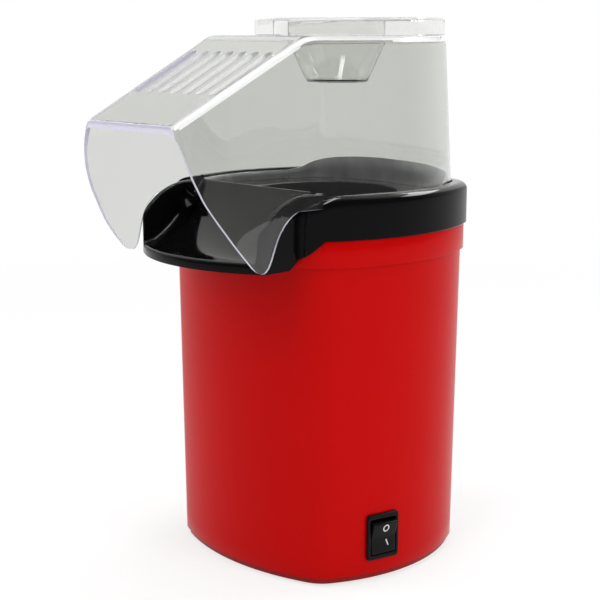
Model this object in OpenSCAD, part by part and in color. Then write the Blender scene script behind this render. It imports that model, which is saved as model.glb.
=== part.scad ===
// Countertop hot-air popcorn maker: a red moulded housing on a red base, a black collar with a
// scooped chute, a clear lift-off hood with vent slots, and a measuring cup that sits in its roof.
// Inside, from the bottom: motor, fan, heater can and popping chamber on one upright axis.
// The origin is the middle of the footprint on the table; the chute points along -Y.

/* [Body] */
// Width of the housing at its foot, side to side
body_w = 142; // [130:1:175]
// Depth of the housing at its foot, front to back
body_d = 129.4; // [122:1:160]
// Height of the step line under the raised band
body_h = 168; // [155:1:205]
// Moulding draft of the housing walls, in degrees
draft = 0.75; // [0.3:0.05:1.5]
// Wall thickness of the housing
wall = 2.5; // [1.8:0.1:3.5]
// Bow radius of the left and right faces
bow_side = 95; // [90:1:400]
// Bow radius of the front and back faces
bow_front = 131; // [110:1:400]
// Radius of the upright corners
corner_r = 20; // [18:1:26]
// Height of the raised band at the top of the housing
band_h = 14; // [8:1:20]
// How far the band stands proud of the wall below it
band_proud = 1.6; // [0.8:0.1:3]

/* [Base] */
// Thickness of the base plate
base_t = 3; // [2:0.1:4]
// How far the base plate is set in from the housing wall
base_inset = 1.8; // [0.5:0.1:4]
// Height that the feet lift the base plate
foot_lift = 1.2; // [0.8:0.1:4]
// Radius of a rubber foot
foot_r = 6; // [4:0.5:7]
// Half the spacing of the feet, side to side
foot_x = 34; // [25:1:38]
// Half the spacing of the feet, front to back
foot_y = 46; // [40:1:48]
// Radius of the air intake grille
grille_r = 33; // [20:1:36]
// Width of one intake slot
grille_slot = 3.6; // [2:0.1:5]

/* [Collar] */
// Height of the collar's skirt and shoulder above the band
collar_h = 22; // [18:1:30]
// How far the collar stands proud of the housing wall
collar_proud = 3; // [2:0.1:6]
// Width of the collar's rim, from its outside to the hood seat
rim_w = 7.8; // [5:0.1:10]
// Depth of the hood seat below the rim
seat_drop = 6; // [3:0.5:9]
// Wall thickness of the collar
collar_wall = 2.4; // [1.8:0.1:3]
// Radius of the round over along the rim's outer edge
shoulder_r = 4; // [2:0.5:5]

/* [Chute] */
// How far the lip reaches in front of the axis, at its middle
lip_reach = 98; // [92:1:110]
// Bow radius of the lip in plan
lip_bow = 86; // [75:1:140]
// Half width of the chute over its cheeks
cheek_x = 48.6; // [44:0.2:49]
// Thickness of a cheek
cheek_t = 4; // [2.5:0.1:5]
// How far the chute hangs below the foot of the collar
chute_drop = 14.5; // [10:0.5:20]
// Height of the lip
lip_h = 5.5; // [4:0.1:8]
// Place of the crest between chute and chamber, in front of the axis
crest_y = 45; // [42:0.5:48]

/* [Hood] */
// Height of the hood's roof above the seat
hood_h = 83; // [70:1:110]
// Wall thickness of the hood
hood_t = 2; // [1.4:0.1:3]
// How far the nose of the hood reaches in front of the axis
nose_reach = 126.5; // [118:0.5:140]
// Half width of the nose
nose_x = 37; // [30:1:40]
// Drop from the roof to the nose
nose_drop = 41; // [30:1:50]
// Place of the ridge where the slope meets the roof, in front of the axis
ridge_y = 45; // [35:1:55]
// Half width of the ridge
ridge_x = 40; // [36:1:44]
// Edge radius of the hood's slope
hood_edge_r = 5; // [3:0.5:7]
// Number of vent slots in the slope
vent_n = 7; // [3:1:8]
// Pitch of the vent slots
vent_pitch = 9.8; // [7:0.1:10]
// Width of a vent slot
vent_w = 4.5; // [2:0.1:6]
// Length of a vent slot along the slope
vent_len = 44; // [20:1:55]

/* [Measuring cup] */
// Mouth radius of the cup
cup_r = 25; // [18:0.5:26]
// Radius of the cup's flat bottom
cup_foot_r = 17; // [10:0.5:18]
// Height of the tray round the cup
tray_h = 9; // [5:0.5:14]
// Depth of the cup below the hood's roof
cup_depth = 25; // [15:1:35]
// Wall thickness of the cup
cup_t = 1.6; // [1:0.1:2.5]
// Place of the cup behind the axis of the body
cup_y = 13; // [8:0.5:18]

/* [Popping chamber] */
// Inside radius of the popping chamber
chamber_r = 43; // [36:0.5:44]
// Depth of the popping chamber
chamber_depth = 74; // [60:1:80]
// Sheet thickness of the chamber, its can and the rim strip
sheet_t = 0.8; // [0.5:0.1:1.2]
// Number of air louvres round the foot of the chamber
louvre_n = 20; // [8:1:28]
// Place of the chamber's axis behind the axis of the body
chamber_y = 4; // [2:0.5:6]
// Height of the rim strip above the seat, at its sides
strip_h = 5; // [3:0.5:7]
// Extra height of the rim strip at the back
strip_arch = 8.5; // [4:0.5:12]

/* [Heater and fan] */
// Radius of the heater can
can_r = 51; // [49:0.5:52]
// Height of the mica heater frame
mica_h = 28; // [20:1:29]
// Radius of the heating coil's winding
coil_r = 33; // [25:0.5:36]
// Turns of the heating coil
coil_turns = 5; // [3:1:6]
// Radius of the wound heating wire
wire_r = 1.1; // [0.6:0.1:1.4]
// Radius over the fan blades
fan_r = 39; // [30:0.5:40]
// Number of fan blades
fan_n = 8; // [5:1:10]
// Height of the fan
fan_h = 15; // [10:0.5:16]
// Radius of the motor
motor_r = 14; // [12:0.5:16]
// Length of the motor's can
motor_h = 32; // [26:1:34]
// Radius of the motor shaft
shaft_r = 1.15; // [1:0.05:1.5]

/* [Switch and cord entry] */
// Width of the switch's frame
switch_w = 20.5; // [18:0.5:24]
// Height of the switch's frame
switch_h = 24.5; // [20:0.5:28]
// Place of the switch in front of the axis
switch_y = 20; // [14:1:26]
// Height of the switch's middle above the table
switch_z = 24.5; // [20:0.5:32]
// Travel of the rocker from off to on, in degrees
rocker_travel = 14; // [8:1:18]
// Radius of the mains lead that the gland takes
lead_r = 3.5; // [3:0.1:4]
// Height of the cord gland above the table
gland_z = 22; // [18:0.5:30]

/* [Hidden] */

eps = 0.01;          // overlap of cuts past a face
slip = 0.3;          // gap between pieces that lift apart
seat_gap = 0.1;      // gap between fixed pieces that meet
run_gap = 0.05;      // radial gap of a turning shaft
plan_fn = 120;       // facets of round parts
bow_steps = 9;       // steps of half a bowed face
corner_steps = 10;   // steps of a corner
far = 400;           // reach of a cut that runs past everything

// Heights up the axis
base_z = foot_lift;                          // underside of the base plate
foot_z = base_z + base_t;                    // lower edge of the housing
band_z = body_h;
collar_z = body_h + band_h;                  // foot of the collar at its sides
rim_z = collar_z + collar_h;
seat_z = rim_z - seat_drop;
chute_z = collar_z - chute_drop;             // underside of the chute
roof_z = seat_z + hood_h;
chamber_top = seat_z - collar_wall - seat_gap;
chamber_z = chamber_top - chamber_depth;     // floor of the chamber
mica_z = chamber_z - mica_h - 4;
can_z = mica_z - 4;                          // foot of the heater can
shroud_z = can_z - 26;                       // foot of the fan shroud
bracket_t = 2.4;
motor_top = shroud_z - bracket_t - seat_gap;
motor_z = motor_top - motor_h;
fan_z = shroud_z + 4;

// Draft
function grow(z) = tan(draft) * (z - foot_z);
wall_top = grow(band_z);
collar_out = wall_top + collar_proud;        // collar's outline, grown from the foot's
seat_in = collar_out - rim_w;                // outline of the hood seat
hood_in = seat_in - slip - 0.3;              // outline of the hood's foot

// Screws: self-tapping, pan head
screw_r = 1.5;
pilot_r = screw_r - 0.25;
hole_r = screw_r + 0.3;
head_r = 2.9;
head_h = 2;
boss_r = 4.2;
boss_x = body_w / 2 - 20;
boss_y = body_d / 2 - 20.7;

// A quarter of an ellipse from straight above its centre to straight in front of it (-Y)
function quarter(cy, cz, ry, rz, n = 12) = [for (i = [0:n]) [cy - ry * sin(90 * i / n), cz + rz * cos(90 * i / n)]];

// The housing's footprint is four bowed arcs that meet round corners. A corner's centre is where
// the two bows, drawn in by the corner's radius, cross.
side_cx = body_w / 2 - bow_side;             // centre of the right face's bow
front_cy = body_d / 2 - bow_front;           // centre of the back face's bow
side_in = bow_side - corner_r;
front_in = bow_front - corner_r;
between = norm([side_cx, front_cy]);
along = (side_in * side_in - front_in * front_in + between * between) / (2 * between);
across = sqrt(side_in * side_in - along * along);
toward = [-side_cx, front_cy] / between;
corner = [side_cx, 0] + along * toward + across * [-toward[1], toward[0]];
side_turn = asin(corner[1] / side_in);       // half the angle of the side's bow
front_turn = asin(corner[0] / front_in);     // half the angle of the front's bow

function arc(c, r, a0, a1, n) = [for (i = [0:n - 1]) let (a = a0 + (a1 - a0) * i / n) c + r * [cos(a), sin(a)]];
function quadrant(out) = concat(
    arc([side_cx, 0], bow_side + out, 0, side_turn, bow_steps),
    arc(corner, corner_r + out, side_turn, 90 - front_turn, corner_steps),
    arc([0, front_cy], bow_front + out, 90 - front_turn, 90, bow_steps));
function flip(points, sx, sy) = [for (p = points) [sx * p[0], sy * p[1]]];
function back(points) = [for (i = [len(points) - 1:-1:0]) points[i]];
function plan_points(out) = let (q = concat(quadrant(out), [[0, body_d / 2 + out]]))
    concat(q, back(flip(quadrant(out), -1, 1)), flip(quadrant(out), -1, -1) , back(flip(q, 1, -1)));

// The footprint, grown outwards all round
module plan(out = 0) {
    polygon(plan_points(out));
}

// The footprint as a block that follows the draft from z0 to z1
module drafted(z0, z1, out = 0) {
    a = body_w / 2 + out + grow(z0);
    b = body_d / 2 + out + grow(z0);
    rise = grow(z1) - grow(z0);
    translate([0, 0, z0]) linear_extrude(height = z1 - z0, scale = [(a + rise) / a, (b + rise) / b], slices = 1)
        plan(out + grow(z0));
}

// Faces of a skin over m rings of n points, closed at the lowest and the highest ring
function skin(m, n) = [for (i = [0:m - 2], k = [0:n - 1]) let (j = (k + 1) % n)
    [i * n + k, (i + 1) * n + k, (i + 1) * n + j, i * n + j]];
function lids(m, n) = [[for (k = [0:n - 1]) k], [for (k = [n - 1:-1:0]) (m - 1) * n + k]];
function lift(points, z) = [for (p = points) [p[0], p[1], z]];
function joined(rings) = [for (ring = rings) for (p = ring) p];

// A side view, given as [y, z] points, carried across the width
module side_view(points, x0, x1) {
    translate([x0, 0, 0]) rotate([90, 0, 90]) linear_extrude(height = x1 - x0) polygon(points);
}

module at_corners(x = boss_x, y = boss_y) {
    for (sx = [-1, 1], sy = [-1, 1]) translate([sx * x, sy * y, 0]) children();
}

// Children turned round the chamber's axis
module round_axis(n, first = 0) {
    translate([0, chamber_y, 0]) for (i = [0:n - 1]) rotate([0, 0, first + i * 360 / n]) children();
}

module tube(r_out, r_in, h) {
    difference() {
        cylinder(r = r_out, h = h, $fn = plan_fn);
        translate([0, 0, -eps]) cylinder(r = r_in, h = h + 2 * eps, $fn = plan_fn);
    }
}

// A pan head screw that points up from z = 0, with its head below
module screw(length) {
    difference() {
        union() {
            translate([0, 0, -head_h]) cylinder(r1 = head_r * 0.8, r2 = head_r, h = head_h, $fn = 32);
            cylinder(r = screw_r - 0.3, h = length, $fn = 32);
        }
        for (turn = [0, 90]) rotate([0, 0, turn]) translate([-1.7, -0.3, -head_h - eps]) cube([3.4, 0.6, 1]);
    }
}

// Where the switch sits on the bowed right face: local +X points out of the wall
switch_turn = -asin(switch_y / bow_side);
switch_x = body_w / 2 - bow_side + (bow_side + grow(switch_z)) * cos(switch_turn);
switch_hole_w = switch_w - 3;
switch_hole_h = switch_h - 3;
module on_switch_face() {
    translate([switch_x, -switch_y, switch_z]) rotate([0, 0, switch_turn]) children();
}

// The stepped line where the housing meets the collar, seen from the side
join_y0 = 53;
join_y1 = join_y0 + chute_drop * 0.8;
module above_join(lift = 0) {
    side_view([[far, collar_z + lift], [-join_y0, collar_z + lift], [-join_y1, chute_z + lift],
        [-far, chute_z + lift], [-far, far], [far, far]], -far, far);
}

lug_z = collar_z - 9;
lug_t = 3;
boss_top = 26;
lip_up = 4;                                  // height of the base plate's lip inside the housing
gland_r = 7;
gland_x = 0;
back_y = body_d / 2 + grow(gland_z);
module housing() color("#b20404") {
    difference() {
        union() {
            difference() {
                union() {
                    drafted(foot_z, band_z);
                    translate([0, 0, band_z]) linear_extrude(height = band_h) plan(wall_top + band_proud);
                }
                translate([0, 0, -eps]) drafted(foot_z, collar_z + 1, -wall);
            }
            // bosses for the base screws, and lugs under the collar's bosses
            intersection() {
                at_corners() {
                    translate([0, 0, foot_z + seat_gap])
                        cylinder(r = boss_r, h = boss_top - foot_z - seat_gap, $fn = 48);
                    translate([0, 0, lug_z]) cylinder(r = boss_r + 3, h = lug_t, $fn = 48);
                }
                drafted(foot_z, collar_z, -wall / 2);
            }
            // ribs that tie the bosses and lugs to the corners
            intersection() {
                union() for (sx = [-1, 1], sy = [-1, 1]) translate([sx * boss_x, sy * boss_y, 0])
                    rotate([0, 0, atan2(sy * body_d, sx * body_w)]) {
                        translate([boss_r - 1, -1, foot_z + lip_up + seat_gap])
                            cube([20, 2, boss_top - foot_z - lip_up]);
                        translate([0, -boss_r - 3, lug_z]) cube([20, 2 * boss_r + 6, lug_t]);
                    }
                drafted(foot_z, collar_z, -wall / 2);
            }
        }
        above_join();
        at_corners() {
            translate([0, 0, foot_z]) cylinder(r = pilot_r, h = boss_top - 4, $fn = 32);
            translate([0, 0, lug_z - eps]) cylinder(r = hole_r, h = lug_t + 2 * eps, $fn = 32);
        }
        on_switch_face() translate([-8, -switch_hole_w / 2, -switch_hole_h / 2])
            cube([16, switch_hole_w, switch_hole_h]);
        translate([gland_x, body_d / 2 + 8, gland_z]) rotate([90, 0, 0]) cylinder(r = gland_r, h = 20, $fn = 64);
    }
}

screw_seat = base_z + head_h - 0.4;
post_r = 4.5;
post_ring = 47;
post_first = 30;
module at_posts() {
    round_axis(3, post_first) translate([post_ring, 0, 0]) children();
}

module base_plate() color("#a00404") {
    difference() {
        union() {
            translate([0, 0, base_z]) linear_extrude(height = base_t) plan(-base_inset);
            // lip that centres the plate inside the housing
            translate([0, 0, foot_z - eps]) linear_extrude(height = lip_up) difference() {
                plan(-wall - seat_gap - 0.1);
                plan(-wall - 2);
            }
            at_posts() translate([0, 0, foot_z - eps])
                cylinder(r = post_r, h = motor_top - foot_z - seat_gap, $fn = 48);
            translate([0, 0, foot_z - eps]) translate([0, chamber_y, 0]) tube(grille_r + 4, grille_r + 2, 3);
        }
        // intake slots, cut to a round field with two cross bars left standing
        intersection() {
            translate([0, chamber_y, 0]) cylinder(r = grille_r, h = foot_z + 1, $fn = plan_fn);
            for (i = [-4:4]) for (s = [-1, 0, 1])
                translate([s * 22 - 9.5, chamber_y + i * grille_slot * 2 - grille_slot / 2, 0])
                    cube([19, grille_slot, foot_z + 1]);
        }
        at_corners() {
            cylinder(r = hole_r, h = foot_z + 6, $fn = 32);
            cylinder(r = head_r + 0.4, h = screw_seat, $fn = 32);
            translate([0, 0, foot_z]) cylinder(r = boss_r + 0.4, h = lip_up + 1, $fn = 48);
        }
        at_corners(foot_x, foot_y) cylinder(r = foot_r + 0.1, h = base_z + 1, $fn = 48);
        at_posts() translate([0, 0, shroud_z - 18]) cylinder(r = pilot_r, h = 20, $fn = 32);
    }
}

module feet() color("#1c1c1e") {
    at_corners(foot_x, foot_y) rotate_extrude($fn = 48)
        polygon([[0, 0], [foot_r - 1, 0], [foot_r, 1], [foot_r, base_z + 1], [0, base_z + 1]]);
}

module base_screws() color("silver") {
    at_corners() translate([0, 0, screw_seat]) screw(16);
}

// The chute's floor, seen from the side: a Bezier curve from the crest down to level with the lip
floor_knee_y = lip_reach - 26;
function chute_floor(drop = 0, n = 12) = [for (i = [0:n]) let (t = i / n, u = 1 - t)
    [-(u * u * crest_y + 2 * u * t * floor_knee_y + t * t * (lip_reach + 1)),
     u * u * rim_z + (1 - u * u) * (chute_z + lip_h) - drop]];

// The chute in plan: parallel cheeks and a bowed lip
module chute_plan(in = 0, back = 0) {
    intersection() {
        translate([-cheek_x + in, -lip_reach - 1]) square([2 * (cheek_x - in), lip_reach + 1 - crest_y + back]);
        translate([0, lip_bow - lip_reach]) circle(r = lip_bow - in, $fn = plan_fn * 2);
    }
}

// Outside of the chute: its cheeks roll down from the crest to the lip
module chute_block() {
    intersection() {
        translate([0, 0, chute_z]) linear_extrude(height = rim_z - chute_z) chute_plan(0, crest_t);
        side_view(concat([[0, chute_z - 1], [0, rim_z]],
            quarter(-crest_y - 8, chute_z + lip_h, lip_reach - crest_y - 18, rim_z - chute_z - lip_h),
            [[-lip_reach - 1, chute_z + lip_h], [-lip_reach - 1, chute_z - 1]]), -cheek_x - 1, cheek_x + 1);
    }
}

crest_t = 2.5;
roll_y = 27;                                 // reach of the rolled front beside the chute
module rolled_front(in = 0) {
    side_view(concat([[far, chute_z - 5], [far, rim_z - in]],
        quarter(-crest_y, chute_z + lip_h, roll_y - in, rim_z - in - chute_z - lip_h),
        [[-crest_y - roll_y + in, chute_z - 5]]), -far, far);
}

// The collar's outline, with its rim rounded over
round_steps = 5;
module collar_block() {
    rings = concat([lift(plan_points(collar_out), chute_z)],
        [for (i = [0:round_steps]) let (a = 90 * i / round_steps)
            lift(plan_points(collar_out - shoulder_r * (1 - cos(a))), rim_z - shoulder_r * (1 - sin(a)))]);
    polyhedron(joined(rings), concat(lids(len(rings), len(rings[0])), skin(len(rings), len(rings[0]))));
}

throat_r = chamber_r - 0.4;
throat_h = 14;
module collar() color("#0c0c0d") {
    difference() {
        union() {
            difference() {
                intersection() {
                    collar_block();
                    rolled_front();
                }
                // hood seat, and the ways out for the hood's side walls
                translate([0, 0, seat_z]) linear_extrude(height = seat_drop + 1) {
                    plan(seat_in);
                    hood_foot(slip);
                }
                // hollow below the seat and inside the skirt
                intersection() {
                    rolled_front(collar_wall);
                    translate([0, 0, chute_z - 1]) union() {
                        linear_extrude(height = seat_z - collar_wall - chute_z + 1) plan(seat_in - 1);
                        linear_extrude(height = seat_z - 4 - chute_z) plan(collar_out - collar_wall);
                    }
                }
            }
            chute_block();
            // throat that leads into the chamber
            translate([0, chamber_y, seat_z - throat_h]) tube(throat_r, throat_r - collar_wall, throat_h - 1);
            // bosses over the housing's lugs
            at_corners() translate([0, 0, lug_z + lug_t + seat_gap])
                cylinder(r = boss_r, h = seat_z - lug_z - lug_t - 1, $fn = 48);
        }
        // trough of the chute, between the cheeks
        side_view(concat(chute_floor(), [[-lip_reach - 2, rim_z + 5], [-crest_y, rim_z + 5]]),
            -cheek_x + cheek_t, cheek_x - cheek_t);
        // hollow under the chute's floor
        intersection() {
            side_view(concat([[-crest_y, chute_z - 5]], chute_floor(collar_wall * 1.4),
                [[-lip_reach - 2, chute_z - 5]]), -cheek_x, cheek_x);
            translate([0, 0, chute_z - 1]) linear_extrude(height = rim_z - chute_z) chute_plan(collar_wall);
        }
        // mouth of the chamber
        translate([0, chamber_y, seat_z - throat_h - 1])
            cylinder(r = throat_r - collar_wall, h = throat_h + seat_drop + 2, $fn = plan_fn);
        // lower edge, a gap above the housing
        side_view([[far, chute_z - 5], [far, collar_z + seat_gap], [-join_y0, collar_z + seat_gap],
            [-join_y1, chute_z + seat_gap], [-join_y1, chute_z - 5]], -far, far);
        at_corners() translate([0, 0, lug_z]) cylinder(r = pilot_r, h = 18, $fn = 32);
    }
}

module collar_screws() color("silver") {
    at_corners() translate([0, 0, lug_z]) screw(14);
}

strip_in = hood_in - hood_t - 1.3;
// Polished strip that lines the hood seat: level at its sides, arched at the back, open to the chute
module rim_strip() color("#b9bcc0") {
    intersection() {
        translate([0, 0, seat_z + 0.1]) linear_extrude(height = strip_h + strip_arch) difference() {
            plan(strip_in);
            plan(strip_in - sheet_t);
        }
        side_view([[-crest_y + 8, 0], [-crest_y + 8, seat_z + strip_h], [30, seat_z + strip_h],
            [body_d / 2 - 6, seat_z + strip_h + strip_arch], [far, seat_z + strip_h + strip_arch], [far, 0]],
            -far, far);
    }
}

// The hood's side walls, each line of them given as a half width for the distance y behind the
// axis. Two lines that meet are blended over the distance k.
function blend_low(a, b, k) = (a + b) / 2 - sqrt(pow((a - b) / 2, 2) + k * k);
function blend_high(a, b, k) = (a + b) / 2 + sqrt(pow((a - b) / 2, 2) + k * k);
leave_y = 15.5;                              // where a wall leaves the bow in a straight line
function side_bow(y, out) = let (r2 = pow(bow_side + out, 2), a = min(leave_y, -y))
    side_cx + sqrt(r2 - a * a) - leave_y / sqrt(r2 - leave_y * leave_y) * max(0, -y - leave_y);

wall_lean = 0.165;                           // how far the nose's sides spread for each mm down
skirt_z = chute_z - 6;
function lean_x(z) = nose_x + wall_lean * (roof_z - nose_drop - z);
roof_in = hood_in - 4.5;
nose_z = roof_z - nose_drop;

// The wall's upper edge: nearly straight from nose to ridge, then out to the roof's own corner
roof_corner_y = 8;
ridge_run = nose_reach - ridge_y;
function eave_x(y) = blend_low(blend_high(nose_x + (ridge_x - nose_x) * (y + nose_reach) / ridge_run,
    ridge_x + (side_bow(roof_corner_y, roof_in) - ridge_x) * (y + ridge_y) / (ridge_y - roof_corner_y), 1.2),
    side_bow(y, roof_in), 1);

// The wall's line at the seat: straight on from the seat's bow, then in to the nose
function foot_x_at(y) = blend_low(lean_x(seat_z) + 0.3 * (y + nose_reach), side_bow(y, hood_in), 0.8);

// The wall's line below the seat, where the tips hang beside the chute
function skirt_x(y) = lean_x(skirt_z) + 4 * (y + nose_reach) / (nose_reach - crest_y - 15);

// The hood's top: the slope runs into the flat roof over a short curve
ridge_curve = 5;
slope = nose_drop / ridge_run;
function roof_at(y) = let (u = y + ridge_y) u > ridge_curve ? roof_z
    : u < -ridge_curve ? roof_z + slope * u : roof_z - slope * pow(ridge_curve - u, 2) / (4 * ridge_curve);

// Places of the wall's upright lines in front of the seat's bow
side_stations = concat([for (i = [0:8]) -nose_reach + 3 + i / 8 * (ridge_run - 3 - ridge_curve)],
    [for (i = [-1:2]) -ridge_y + ridge_curve * i / 2],
    [for (i = [1:4]) -ridge_y + ridge_curve + i / 4 * (ridge_y - ridge_curve - roof_corner_y)]);
nose_corner = [[3, 0], [0.9, 0.9]];          // rounding of the nose's corners in plan

// One half of a ring, from the nose's corner to the back: x(y) in front, the outline behind
function half_ring(xs, out, t) = concat(
    [for (i = [0:1]) [xs[0] - t - nose_corner[i][0], -nose_reach + t + nose_corner[i][1]]],
    [for (i = [0:len(side_stations) - 1]) [xs[i] - t, side_stations[i]]],
    quadrant(out - t));
function ring(half) = concat(half, back(flip(half, -1, 1)));

// Outline of the hood at the height of its seat
foot_xs = [for (y = side_stations) foot_x_at(y)];
module hood_foot(out = 0) {
    polygon(ring(half_ring(foot_xs, hood_in, -out)));
}

// Rings of the hood's outer face, from the skirt up over the rounded eave, or set in by t
wall_bulge = 2;
function bulge(y) = wall_bulge * min(1, max(0, (-y - 60) / 30));
function hood_rings(t) = let (n = len(side_stations), r = hood_edge_r - t * 0.7,
    skirt_xs = [for (y = side_stations) skirt_x(y)],
    eave_xs = [for (y = side_stations) eave_x(y)],
    low_xs = [for (i = [0:n - 1]) (foot_xs[i] + skirt_xs[i] + bulge(side_stations[i])) / 2],
    mid_xs = [for (i = [0:n - 1]) (foot_xs[i] + eave_xs[i]) / 2 + bulge(side_stations[i])]) concat(
    [lift(ring(half_ring(skirt_xs, hood_in, t)), skirt_z),
        lift(ring(half_ring(low_xs, hood_in, t)), (skirt_z + seat_z) / 2),
        lift(ring(half_ring(foot_xs, hood_in, t)), seat_z),
        [for (p = ring(half_ring(mid_xs, (hood_in + roof_in) / 2, t))) [p[0], p[1], (seat_z + roof_at(p[1]) - r) / 2]]],
    [for (a = [0:30:90]) let (in = r * (1 - cos(a)))
        [for (p = ring(half_ring([for (x = eave_xs) x - in], roof_in - in, t)))
            [p[0], p[1], roof_at(p[1]) - t - r * (1 - sin(a))]]]);

// Strips from side to side that close the highest ring, each of them level across
function strips(first, c) = [for (i = [0:c / 2 - 2])
    [first + i, first + c - 1 - i, first + c - 2 - i, first + i + 1]];
function shifted(faces, by) = [for (f = faces) [for (k = f) k + by]];
function turned(faces) = [for (f = faces) back(f)];

// The hood before it is cut: an outer and an inner skin that meet along the skirt
module hood_shell() {
    outer = hood_rings(0);
    inner = hood_rings(hood_t);
    m = len(outer);
    c = len(outer[0]);
    half = m * c;
    polyhedron(joined(concat(outer, inner)), concat(skin(m, c), strips(half - c, c),
        shifted(turned(concat(skin(m, c), strips(half - c, c))), half),
        [for (k = [0:c - 1]) let (j = (k + 1) % c) [k, j, half + j, half + k]]));
}

// Free edge of the hood, seen from the side: [y, z] round the mouth, the tips and back to the seat
tip_y = lip_reach - 10.5;
module hood_mouth() {
    side_view([[far, skirt_z - 1], [far, seat_z + 0.15], [-crest_y - 15, seat_z + 0.15],
        [-crest_y - 23, seat_z + 0.6], [-crest_y - 27, seat_z - 3], [-crest_y - 31, seat_z - 7.5],
        [-crest_y - 34.5, seat_z - 13.5], [-crest_y - 36.5, seat_z - 20], [-tip_y + 4, chute_z + 4],
        [-tip_y + 2, chute_z + 1.6], [-tip_y, chute_z + 1], [-tip_y - 3, chute_z + 1.8],
        [-tip_y - 6, chute_z + 4.5], [-tip_y - 11.5, chute_z + 11], [-tip_y - 16.5, chute_z + 17.5],
        [-tip_y - 21.5, chute_z + 25], [-tip_y - 29, chute_z + 36.5], [-tip_y - 34, chute_z + 48],
        [-tip_y - 37, chute_z + 60], [-nose_reach + 0.4, nose_z - 2], [-nose_reach - 10, nose_z - 2],
        [-nose_reach - 10, skirt_z - 1]], -far, far);
}

slope_deg = atan2(nose_drop, nose_reach - ridge_y);
vent_start = 30;                             // from the nose up the slope to the slots' lower ends
module vent_slots() {
    for (i = [0:vent_n - 1]) translate([(i - (vent_n - 1) / 2) * vent_pitch, -nose_reach, nose_z])
        rotate([slope_deg, 0, 0]) translate([0, vent_start, -10]) {
            for (y = [vent_w / 2, vent_len - vent_w / 2]) translate([0, y, 0]) cylinder(r = vent_w / 2, h = 20, $fn = 24);
            translate([-vent_w / 2, vent_w / 2, 0]) cube([vent_w, vent_len - vent_w, 20]);
        }
}

module hood() color([0.88, 0.9, 0.94, 0.4]) {
    difference() {
        hood_shell();
        hood_mouth();
        vent_slots();
        translate([0, cup_y, roof_z - 10]) cylinder(r = cup_r + cup_t + slip, h = 20, $fn = plan_fn);
    }
}

// The measuring cup is a bowl in a tray that follows the roof's outline and is round in front
tray_r = cup_r + 10;
module tray_plan(in = 0) {
    hull() {
        intersection() {
            plan(roof_in - 1 - in);
            translate([-far / 2, cup_y - 2 + in]) square(far);
        }
        translate([0, cup_y]) circle(r = tray_r - in, $fn = 64);
    }
}

module measuring_cup() color([0.88, 0.9, 0.94, 0.4]) {
    z0 = roof_z + 0.1;
    difference() {
        union() {
            difference() {
                translate([0, 0, z0]) linear_extrude(height = tray_h) tray_plan();
                translate([0, 0, z0 - eps]) linear_extrude(height = tray_h - cup_t) tray_plan(cup_t);
            }
            translate([0, cup_y, 0]) rotate_extrude($fn = plan_fn)
                polygon([[0, roof_z - cup_depth], [cup_foot_r, roof_z - cup_depth], [cup_r + cup_t, roof_z - 4],
                    [cup_r + cup_t, roof_z + tray_h - 1], [0, roof_z + tray_h - 1]]);
        }
        translate([0, cup_y, 0]) rotate_extrude($fn = plan_fn)
            polygon([[0, roof_z - cup_depth + cup_t], [cup_foot_r - cup_t * 0.6, roof_z - cup_depth + cup_t],
                [cup_r, roof_z - 3.6], [cup_r, roof_z + tray_h + 1], [0, roof_z + tray_h + 1]]);
    }
}

rocker_w = switch_w - 5.5;
rocker_h = switch_h - 6;
rocker_in = 3;                               // pivot depth behind the frame's face
frame_t = 1.8;
frame_gap = seat_gap + tan(draft) * switch_h / 2;    // the frame is flat, the wall behind it leans
module switch_frame() color("#0a0a0b") {
    on_switch_face() difference() {
        union() {
            translate([frame_gap, 0, 0]) rotate([90, 0, 90]) linear_extrude(height = frame_t)
                offset(r = 2, $fn = 32) square([switch_w - 4, switch_h - 4], center = true);
            translate([-13, -switch_hole_w / 2 + 0.2, -switch_hole_h / 2 + 0.2])
                cube([13.5 + frame_gap, switch_hole_w - 0.4, switch_hole_h - 0.4]);
        }
        translate([-8, -rocker_w / 2 - 0.4, -rocker_h / 2 - 0.4]) cube([12, rocker_w + 0.8, rocker_h + 0.8]);
        translate([-rocker_in, 0, 0]) rotate([90, 0, 0])
            cylinder(r = 1.2 + run_gap, h = rocker_w + 2.4, center = true, $fn = 32);
    }
}

// A rocker tilted by half its travel, so that its off end is pressed in
module switch_rocker() color("#0a0a0b") {
    on_switch_face() translate([-rocker_in, 0, 0]) {
        rotate([0, -rocker_travel / 2, 0]) translate([0, rocker_w / 2, 0]) rotate([90, 0, 0])
            linear_extrude(height = rocker_w) polygon([[-2, -2.5], [-2, 2.5], [3.4, rocker_h / 2 - 0.5],
                [6.2, rocker_h / 2 - 0.7], [5, 0], [6.2, -rocker_h / 2 + 0.7], [3.4, -rocker_h / 2 + 0.5]]);
        rotate([90, 0, 0]) cylinder(r = 1.2, h = rocker_w + 2, center = true, $fn = 32);
    }
}

module switch_contacts() color("#c9a45c") {
    on_switch_face() for (y = [-4, 4], z = [-7, 0, 7])
        translate([-21, y - 0.4, z - 2.4]) difference() {
            cube([8 - seat_gap, 0.8, 4.8]);
            translate([2.5, -1, 2.4]) rotate([-90, 0, 0]) cylinder(r = 0.9, h = 3, $fn = 24);
        }
}

gland_head = 2.5;
module cord_gland() color("#141415") {
    translate([gland_x, back_y, gland_z]) rotate([90, 0, 0]) difference() {
        union() {
            translate([0, 0, -gland_head - seat_gap]) cylinder(r1 = gland_r + 1.2, r2 = gland_r + 2, h = gland_head, $fn = 64);
            translate([0, 0, -gland_head]) cylinder(r = gland_r - 0.1, h = gland_head + wall + 4, $fn = 64);
            translate([0, 0, wall + 0.4]) cylinder(r1 = gland_r + 1, r2 = gland_r, h = 3, $fn = 64);
        }
        translate([0, 0, -gland_head - 1]) cylinder(r = lead_r + 0.1, h = 20, $fn = 64);
    }
}

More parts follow.
